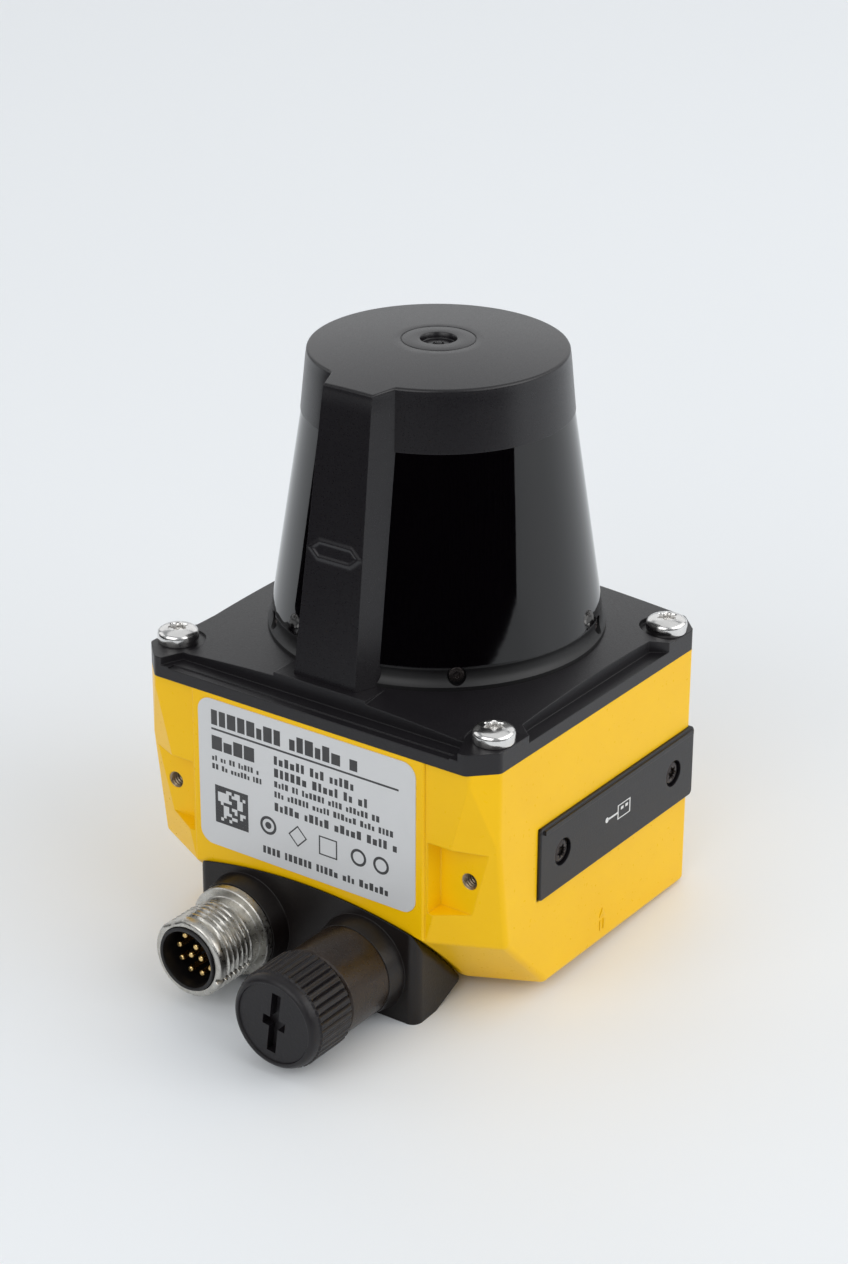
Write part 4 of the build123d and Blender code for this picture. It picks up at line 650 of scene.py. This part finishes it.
def hood_shell():
    verts, faces, index = [], [], {}
    arc_steps, bore_steps, crown_rings = 132, 96, 10
    disc_radius = 5.42

    def vertex(x, y, z):
        key = (round(x, 4), round(y, 4), round(z, 4))
        if key not in index:
            index[key] = len(verts)
            verts.append((x * MM, (HOOD_Y + y) * MM, z * MM))
        return index[key]

    def skin(rows):
        for first, second in zip(rows, rows[1:]):
            for i in range(len(first)):
                j = (i + 1) % len(first)
                quad = []
                for v in (first[i], first[j], second[j], second[i]):
                    if v not in quad:
                        quad.append(v)
                if len(quad) > 2:
                    faces.append(tuple(quad))

    def outline(z):
        path = pillar_path(z, cap_share(z))
        x, y = path[-1]
        radius = math.hypot(x, y)
        start = math.atan2(y, x)
        stop = math.atan2(y, -x) - TURN
        ring = [start + (stop - start) * k / arc_steps for k in range(1, arc_steps)]
        return path + [(radius * math.cos(t), radius * math.sin(t)) for t in ring]

    # Cap's side, rim, crown and middle
    rows = []
    for z in (CAP_FOOT, 76.6, 79.0, 81.5, 83.6):
        rows.append([vertex(x, y, z) for x, y in outline(z)])
    rim = outline(84.9)
    reach = [math.hypot(x, y) for x, y in rim]
    turn = [math.atan2(y, x) for x, y in rim]

    def crown_row(radii, drop):
        spots = zip(radii, turn)
        rows.append([vertex(q * math.cos(t), q * math.sin(t), crown(q) - drop) for q, t in spots])

    for drop in (0.46, 0.36):
        rows.append([vertex(x, y, crown(r) - drop) for (x, y), r in zip(rim, reach)])
    for inset, drop in ((0.03, 0.24), (0.13, 0.07), (0.30, 0.0), (RIM_BEND, 0.0)):
        crown_row([r - inset for r in reach], drop)
    for k in range(1, crown_rings + 1):
        share = k / crown_rings
        crown_row([(r - RIM_BEND) * (1 - share) + disc_radius * share for r in reach], 0.0)
    for q, drop in CENTRE_PROFILE:
        crown_row([q] * len(turn), drop)
    bottom = vertex(0, 0, HOOD_TOP - 0.57)
    skin(rows)
    last = rows[-1]
    for i in range(len(last)):
        faces.append((last[i], last[(i + 1) % len(last)], bottom))

    # Underside of the cap and its hollow
    foot_share = cap_share(CAP_FOOT)
    path = pillar_path(CAP_FOOT, foot_share)
    _, (inner_x, inner_y) = pillar_corners(CAP_FOOT)
    border = outline(CAP_FOOT)[len(path) - 1:]
    border += [path[0], (-inner_x, inner_y), (inner_x, inner_y)]
    bore = []
    for k in range(bore_steps):
        t = TURN * k / bore_steps
        bore.append((CAP_BORE * math.cos(t), CAP_BORE * math.sin(t)))
    flat = border + bore
    loops = [[Vector((x, y, 0)) for x, y in loop] for loop in (border, bore)]
    for tri in tessellate_polygon(loops):
        faces.append(tuple(vertex(flat[i][0], flat[i][1], CAP_FOOT) for i in tri))
    hollow = [[vertex(x, y, CAP_FOOT) for x, y in bore]]
    for scale, z in ((1.0, 80.0), (0.98, 83.6), (0.95, 83.8), (0.4, 83.8)):
        hollow.append([vertex(x * scale, y * scale, z) for x, y in bore])
    skin(hollow)
    faces.append(tuple(hollow[-1]))

    # Pillar below the cap, with fine rows where the mark lies
    heights = [CAP_FOOT, 72.0, 68.0, 65.5]
    heights += [64.3 - 0.115 * k for k in range(46)]
    heights += [58.0, 54.0, 50.0, 46.0, 43.5, PILLAR_FOOT]
    rows = []
    for z in heights:
        (_, face_y), (inner_x, inner_y) = pillar_corners(z)
        row = [vertex(-inner_x, inner_y, z)]
        for x, y in pillar_path(z, foot_share):
            marked = y > face_y - 0.001 and z < 65
            row.append(vertex(x, y + (mark_height(x, z) if marked else 0.0), z))
        row.append(vertex(inner_x, inner_y, z))
        rows.append(row)
    skin(rows)
    faces.append(tuple(rows[-1]))
    make_piece("hood_shell", verts, faces, "smooth_black", node="hood_frame")


hood_shell()


# Knurled plug with its threaded stem, sunk face and cross slot
def plug_piece():
    cx, cz = PLUG_AXIS
    ridges, segments = 40, 400
    face_y, slot_floor, slot_narrowing = 49.02, 47.65, 0.985
    slot_half, slot_length, bar_length = 0.75, 4.7, 1.9
    slot_turn = math.radians(-7.0)

    def ridge(depth):
        def radius(t):
            phase = (ridges * t / TURN) % 1.0 - 0.5
            return 7.4 - depth * math.exp(-((phase / 0.17) ** 2)) - 0.10 * (2 * phase) ** 2

        return radius

    def thread(y):
        return lambda t: 5.27 + 0.17 * math.cos(TURN * (y - t / TURN))

    profile = [(0, 41.25), (4.55, 41.25), (4.55, 33.75), (5.0, 33.75), (5.12, 33.9)]
    profile += [(thread(34.0 + k / 10), 34.0 + k / 10) for k in range(55)]
    profile += [(5.12, 39.6), (5.12, 40.2), (5.44, 40.4), (5.44, 41.5), (6.55, 41.5)]
    profile += [(6.55, 40.75), (6.85, 40.75), (7.0, 40.85), (ridge(0.36), 41.05)]
    profile += [(ridge(0.42), y) for y in (41.3, 44.0, 46.9)]
    profile += [(ridge(0.36), 47.3), (ridge(0.22), 47.62), (7.10, 47.85), (7.08, 48.15)]
    profile += [(7.0, 48.5), (6.84, 48.85), (6.62, 49.1), (6.38, 49.25), (6.18, 49.3)]
    profile += [(6.06, 49.26), (5.98, 49.14), (5.95, face_y)]
    verts, faces = [], []
    along_y(verts, faces, PLUG_AXIS, profile, segments)
    border = list(range(len(verts) - segments, len(verts)))

    corners = [
        (slot_half, -slot_length), (slot_half, -slot_half), (bar_length, -slot_half),
        (bar_length, slot_half), (slot_half, slot_half), (slot_half, slot_length),
    ]
    corners += [(-u, -v) for u, v in corners]
    cos, sin = math.cos(slot_turn), math.sin(slot_turn)
    slot_points = [(u * cos - v * sin, u * sin + v * cos) for u, v in corners]

    def slot_row(y, share):
        start = len(verts)
        for u, v in slot_points:
            verts.append(((cx - u * share) * MM, y * MM, (cz + v * share) * MM))
        return list(range(start, len(verts)))

    top_row, low_row = slot_row(face_y, 1.0), slot_row(slot_floor, slot_narrowing)
    loops = [[Vector((verts[i][0], verts[i][2], 0)) for i in row] for row in (border, top_row)]
    flat = border + top_row
    for tri in tessellate_polygon(loops):
        faces.append(tuple(flat[i] for i in tri))
    for i in range(len(top_row)):
        j = (i + 1) % len(top_row)
        faces.append((top_row[i], top_row[j], low_row[j], low_row[i]))
    faces.append(tuple(low_row))
    make_piece(
        "knurled_plug", verts, faces, "knurl_black", "plug",
        node="socket_plug",
    )


plug_piece()


# Insulating insert of the signal connector, a little proud of its shell
def insert_piece():
    bore, key_reach, key_half = 4.30, 3.85, 0.12

    def keyed(t):
        return bore if abs(angle_off(t, math.pi / 2)) > key_half else key_reach

    profile = [(0, 32.2), (4.86, 32.2), (4.86, 42.65), (4.84, 42.88), (4.76, 43.0)]
    profile += [(4.48, 43.0), (4.36, 42.92), (bore, 42.7), (bore, 42.3), (keyed, 42.2)]
    profile += [(keyed, 36.2), (3.8, 36.02), (3.72, 36.0), (2.25, 36.0), (2.15, 36.06)]
    profile += [(1.9, 36.06), (1.8, 36.0), (0, 36.0)]
    verts, faces = [], []
    along_y(verts, faces, SIGNAL_AXIS, profile, 160)
    make_piece(
        "signal_insert_keyed", verts, faces, "insert_black", "connector_unit",
        node="signal_insert",
    )


insert_piece()


# -------------------------------------------------------------------- print
def round_points(cx, cy, r, count):
    turns = [TURN * i / count for i in range(count)]
    return [(cx + r * math.cos(t), cy + r * math.sin(t)) for t in turns]


class Print:
    """Flat printed fields: bars, rings and outlines laid on a face."""

    def __init__(self, origin, right, up, out, lift, thick):
        self.origin, self.right, self.up = Vector(origin), Vector(right), Vector(up)
        self.out, self.lift, self.thick = Vector(out), lift, thick
        self.verts, self.faces = [], []

    def prism(self, outline, inner=None):
        n = len(outline)
        base = len(self.verts)
        for loop in (outline, inner or []):
            for z in (self.lift, self.lift + self.thick):
                for x, y in loop:
                    spot = self.origin + self.right * x + self.up * y + self.out * z
                    self.verts.append(tuple(spot * MM))
        if inner is None:
            self.faces.append(tuple(base + n + i for i in range(n)))
            self.faces.append(tuple(base + i for i in reversed(range(n))))
        for i in range(n):
            j = (i + 1) % n
            self.faces.append((base + i, base + j, base + n + j, base + n + i))
            if inner is not None:
                off = base + 2 * n
                self.faces.append((off + j, off + i, off + n + i, off + n + j))
                self.faces.append((base + n + i, base + n + j, off + n + j, off + n + i))
                self.faces.append((base + j, base + i, off + i, off + j))

    def bar(self, x0, y0, x1, y1):
        self.prism([(x0, y0), (x1, y0), (x1, y1), (x0, y1)])

    def loop(self, outline, width):
        """Outline of a convex shape with a line of the given width inside it."""
        cx = sum(p[0] for p in outline) / len(outline)
        cy = sum(p[1] for p in outline) / len(outline)
        share = 1 - width / min(math.hypot(p[0] - cx, p[1] - cy) for p in outline)
        self.prism(outline, [(cx + (x - cx) * share, cy + (y - cy) * share) for x, y in outline])

    def ring(self, cx, cy, r, width):
        self.loop(round_points(cx, cy, r, 40), width)

    def disc(self, cx, cy, r):
        self.prism(round_points(cx, cy, r, 28))

    def row(self, x0, x1, y, height, seed, weight=0.46, gap=0.24, groups=(2, 6)):
        """A row of small upright blocks in uneven groups."""
        rng = random.Random(seed)
        x, left = x0, rng.randint(*groups)
        while x < x1 - 0.4 * height:
            run = height * weight * rng.uniform(0.75, 1.25)
            low = 0.0 if rng.random() < 0.6 else 0.28 * height
            self.bar(x, y, x + run, y + height - low)
            x += run + height * gap
            left -= 1
            if left == 0:
                x += height * 0.55
                left = rng.randint(*groups)

    def build(self, name, finish):
        make_piece(name, self.verts, self.faces, finish, smooth=False)


# Rear label, seen from behind: right on the label is -X
marks = Print((0, 28.40, 26.2), (-1, 0, 0), (0, 0, 1), (0, 1, 0), 0.004, 0.012)
LEFT = -16.6
marks.row(LEFT, 9.8, 7.65, 2.35, 12, weight=0.52, gap=0.14, groups=(5, 8))
marks.bar(LEFT, 6.85, 16.2, 7.15)
marks.row(LEFT, -7.4, 3.75, 2.2, 9, weight=0.80, gap=0.13, groups=(4, 4))
# Start, stop, foot and height of each row of the middle block
LINES = (
    (-5.4, 9.4, 4.55, 1.35),
    (-5.4, 11.4, 2.60, 1.35),
    (-5.4, 13.2, 1.00, 0.95),
    (-5.4, 15.6, -0.60, 0.95),
    (-5.4, 16.0, -2.75, 1.30),
)
for number, (start, stop, y, tall) in enumerate(LINES):
    marks.row(start, stop, y, tall, 5 + number)
marks.row(LEFT, -8.2, 2.0, 0.85, 31, weight=0.44)
marks.row(LEFT, -7.2, 0.65, 0.85, 32, weight=0.44)

# Square with a random pattern
code = random.Random(4)
CELLS, CELL, CODE_X, CODE_Y = 12, 0.50, -16.2, -7.8
for i in range(CELLS):
    for j in range(CELLS):
        edge = i in (0, CELLS - 1) or j in (0, CELLS - 1)
        if edge or code.random() < 0.48:
            x, y = CODE_X + i * CELL, CODE_Y + j * CELL
            marks.bar(x, y, x + CELL * 0.98, y + CELL * 0.98)

# Plain shapes in a line, and the lowest row
marks.ring(-6.6, -5.5, 1.45, 0.42)
marks.disc(-6.6, -5.5, 0.55)
marks.loop([(-3.0, -5.6), (-1.35, -3.9), (0.3, -5.6), (-1.35, -7.3)], 0.28)
marks.loop([(2.4, -7.2), (5.6, -7.2), (5.6, -4.2), (2.4, -4.2)], 0.3)
marks.ring(9.3, -5.6, 1.35, 0.4)
marks.ring(13.2, -5.6, 1.35, 0.4)
marks.row(-7.6, 14.4, -10.1, 1.15, 77)
marks.build("label_print", "ink")

# Port symbol on the service cover: a plain plug outline
port = Print((-31.0, -5.1, SERVICE_Z), (0, -1, 0), (0, 0, 1), (-1, 0, 0), 0.003, 0.012)
port.loop([(-0.5, -1.15), (2.9, -1.15), (2.9, 1.15), (-0.5, 1.15)], 0.30)
port.bar(0.35, 0.15, 1.05, 0.62)
port.bar(1.55, 0.15, 2.25, 0.62)
port.bar(-3.0, -0.16, -0.5, 0.16)
port.disc(-3.3, 0, 0.42)
port.build("port_symbol", "white_ink")

# Small raised index mark low on the side wall with the service cover
pointer = Print((-30.5, -2.0, 3.7), (0, -1, 0), (0, 0, 1), (-1, 0, 0), -0.05, 0.16)
pointer.prism([(-0.75, 0.75), (0.75, 0.75), (0.0, 2.05)])
pointer.bar(-0.62, -1.45, -0.30, 0.1)
pointer.bar(0.30, -1.45, 0.62, 0.1)
pointer.build("index_mark", "paint")


# ------------------------------------------------------------------- stage
def stage_mesh(name, corners, quads, colors, rough, scale, detail, specular=None):
    """A piece of the studio, with faint clouds in its colour and roughness."""
    mesh = bpy.data.meshes.new(name)
    mesh.from_pydata(corners, [], quads)
    mesh.update()
    mat, tree, bsdf, coords = new_material(name)
    clouds = noise(tree, coords, scale, detail)
    tree.links.new(blend(tree, clouds, *colors), bsdf.inputs["Base Color"])
    tree.links.new(remap(tree, clouds, *rough), bsdf.inputs["Roughness"])
    if specular is not None:
        bsdf.inputs["Specular IOR Level"].default_value = specular
    mesh.materials.append(mat)
    obj = bpy.data.objects.new(name, mesh)
    bpy.context.scene.collection.objects.link(obj)
    return obj


# The scanner leans back on its connector block: the floor meets the housing's front edge and
# the block's rear edge
FRONT_EDGE = Vector((0, -27.2, -0.02)) * MM
REAR_EDGE = Vector((0, 28.8, -3.02)) * MM
FLOOR_REACH = 6.0
FLOOR_COLOR = (0.85, 0.873, 0.895)
along = (REAR_EDGE - FRONT_EDGE).normalized()
floor_middle = (FRONT_EDGE + REAR_EDGE) / 2
floor_corners = []
for sx, sy in ((-1, -1), (1, -1), (1, 1), (-1, 1)):
    corner = floor_middle + Vector((1, 0, 0)) * sx * FLOOR_REACH + along * sy * FLOOR_REACH
    floor_corners.append(tuple(corner))
stage_mesh(
    "floor", floor_corners, [(0, 1, 2, 3)],
    (FLOOR_COLOR, tuple(c * 0.99 for c in FLOOR_COLOR)), (0.55, 0.60), 6.0, 2.0,
)

# Camera as solved from the photo
AZIMUTH = math.radians(215.45)
ELEVATION = math.radians(24.44)
ROLL = math.radians(0.27)
EYE_DISTANCE = 445.16
TARGET_SIDE, TARGET_HEIGHT = 0.07, 42.14
FOCAL_PIXELS, FRAME_PIXELS, SENSOR_HEIGHT = 3080.48, 1264, 24.0

back = Vector((
    math.sin(AZIMUTH) * math.cos(ELEVATION),
    -math.cos(AZIMUTH) * math.cos(ELEVATION),
    math.sin(ELEVATION),
))
target = Vector((
    TARGET_SIDE * math.cos(AZIMUTH), TARGET_SIDE * math.sin(AZIMUTH), TARGET_HEIGHT,
)) * MM
eye = target + back * EYE_DISTANCE * MM
right = (-back).cross(Vector((0, 0, 1))).normalized()
up = right.cross(-back)
rolled_right = right * math.cos(ROLL) + up * math.sin(ROLL)
rolled_up = -right * math.sin(ROLL) + up * math.cos(ROLL)
cam_data = bpy.data.cameras.new("camera")
cam_data.sensor_fit = "VERTICAL"
cam_data.sensor_height = SENSOR_HEIGHT
cam_data.lens = FOCAL_PIXELS / FRAME_PIXELS * SENSOR_HEIGHT
cam_data.clip_start = 0.01
cam_data.clip_end = 50.0
camera = bpy.data.objects.new("camera", cam_data)
bpy.context.scene.collection.objects.link(camera)
rotation = Matrix((
    (rolled_right.x, rolled_up.x, back.x),
    (rolled_right.y, rolled_up.y, back.y),
    (rolled_right.z, rolled_up.z, back.z),
))
camera.matrix_world = Matrix.Translation(eye) @ rotation.to_4x4()
bpy.context.scene.camera = camera

flat_back = Vector((back.x, back.y, 0)).normalized()
flat_right = Vector((right.x, right.y, 0)).normalized()
LIGHT_AIM = Vector((0, 0, 0.045))


def around(forward, sideways, height):
    """A place given from the object: towards the camera, to the picture's right, and up."""
    p = flat_back * forward + flat_right * sideways
    return (p.x, p.y, height)


def softbox(name, place, size_x, size_y, radiance):
    light = bpy.data.lights.new(name, "AREA")
    light.shape = "RECTANGLE"
    light.size = size_x
    light.size_y = size_y
    light.energy = radiance * math.pi * size_x * size_y
    obj = bpy.data.objects.new(name, light)
    bpy.context.scene.collection.objects.link(obj)
    obj.rotation_euler = (LIGHT_AIM - Vector(place)).to_track_quat("-Z", "Y").to_euler()
    obj.location = place
    obj.visible_camera = False


softbox("top_soft", around(-0.15, 0.10, 1.05), 1.5, 1.3, 0.48)
softbox("right_soft", around(-0.10, 1.15, 0.62), 1.5, 0.9, 0.95)
softbox("back_soft", around(-1.25, 0.1, 0.62), 2.2, 0.9, 0.62)
softbox("left_soft", around(-0.45, -1.15, 0.55), 0.9, 0.8, 0.75)
softbox("rear_soft", around(0.95, -0.70, 0.75), 1.4, 1.0, 1.75)
softbox("side_soft", around(0.55, 0.95, 0.75), 1.3, 1.0, 1.5)

# Cards that paint dark reflections into the glossy sides, seen in no other light
CARD_STEPS = 24
REFLECTION_CARD_COLORS = ((0.004, 0.004, 0.004), (0.007, 0.007, 0.007))


def dark_reflection_card(name, radius, start, stop, height, lean=0.0):
    """A low dark card out of the picture, seen only in glossy rays: a painted dark reflection on
    the glossy sides, hidden from diffuse light and casting no shadow.
    """
    corners, quads = [], []
    for k in range(CARD_STEPS + 1):
        for end, lift in ((stop, 0.0005), (stop + lean, height)):
            t = math.radians(start + (end - start) * k / CARD_STEPS)
            x, y, _ = around(radius * math.cos(t), radius * math.sin(t), 0)
            floor_z = FRONT_EDGE.z + (y - FRONT_EDGE.y) * along.z / along.y
            corners.append((x, y, floor_z + lift))
    for k in range(CARD_STEPS):
        quads.append((2 * k, 2 * k + 2, 2 * k + 3, 2 * k + 1))
    card = stage_mesh(name, corners, quads, REFLECTION_CARD_COLORS, (0.85, 0.95), 40.0, 3.0, specular=0.1)
    card.visible_camera = False
    card.visible_diffuse = False
    card.visible_shadow = False


# Painted dark reflections: two cards that only the glossy sides show
dark_reflection_card("front_reflection_card", 0.385, -70, 56, 0.098, lean=20)
dark_reflection_card("left_reflection_card", 0.215, -112, -60, 0.080)

world = bpy.data.worlds.new("world")
bpy.context.scene.world = world
world.use_nodes = True
sky = world.node_tree.nodes["Background"]
sky.inputs["Color"].default_value = (0.93, 0.965, 1.0, 1.0)
sky.inputs["Strength"].default_value = 0.35

bpy.context.scene.view_settings.view_transform = "Standard"
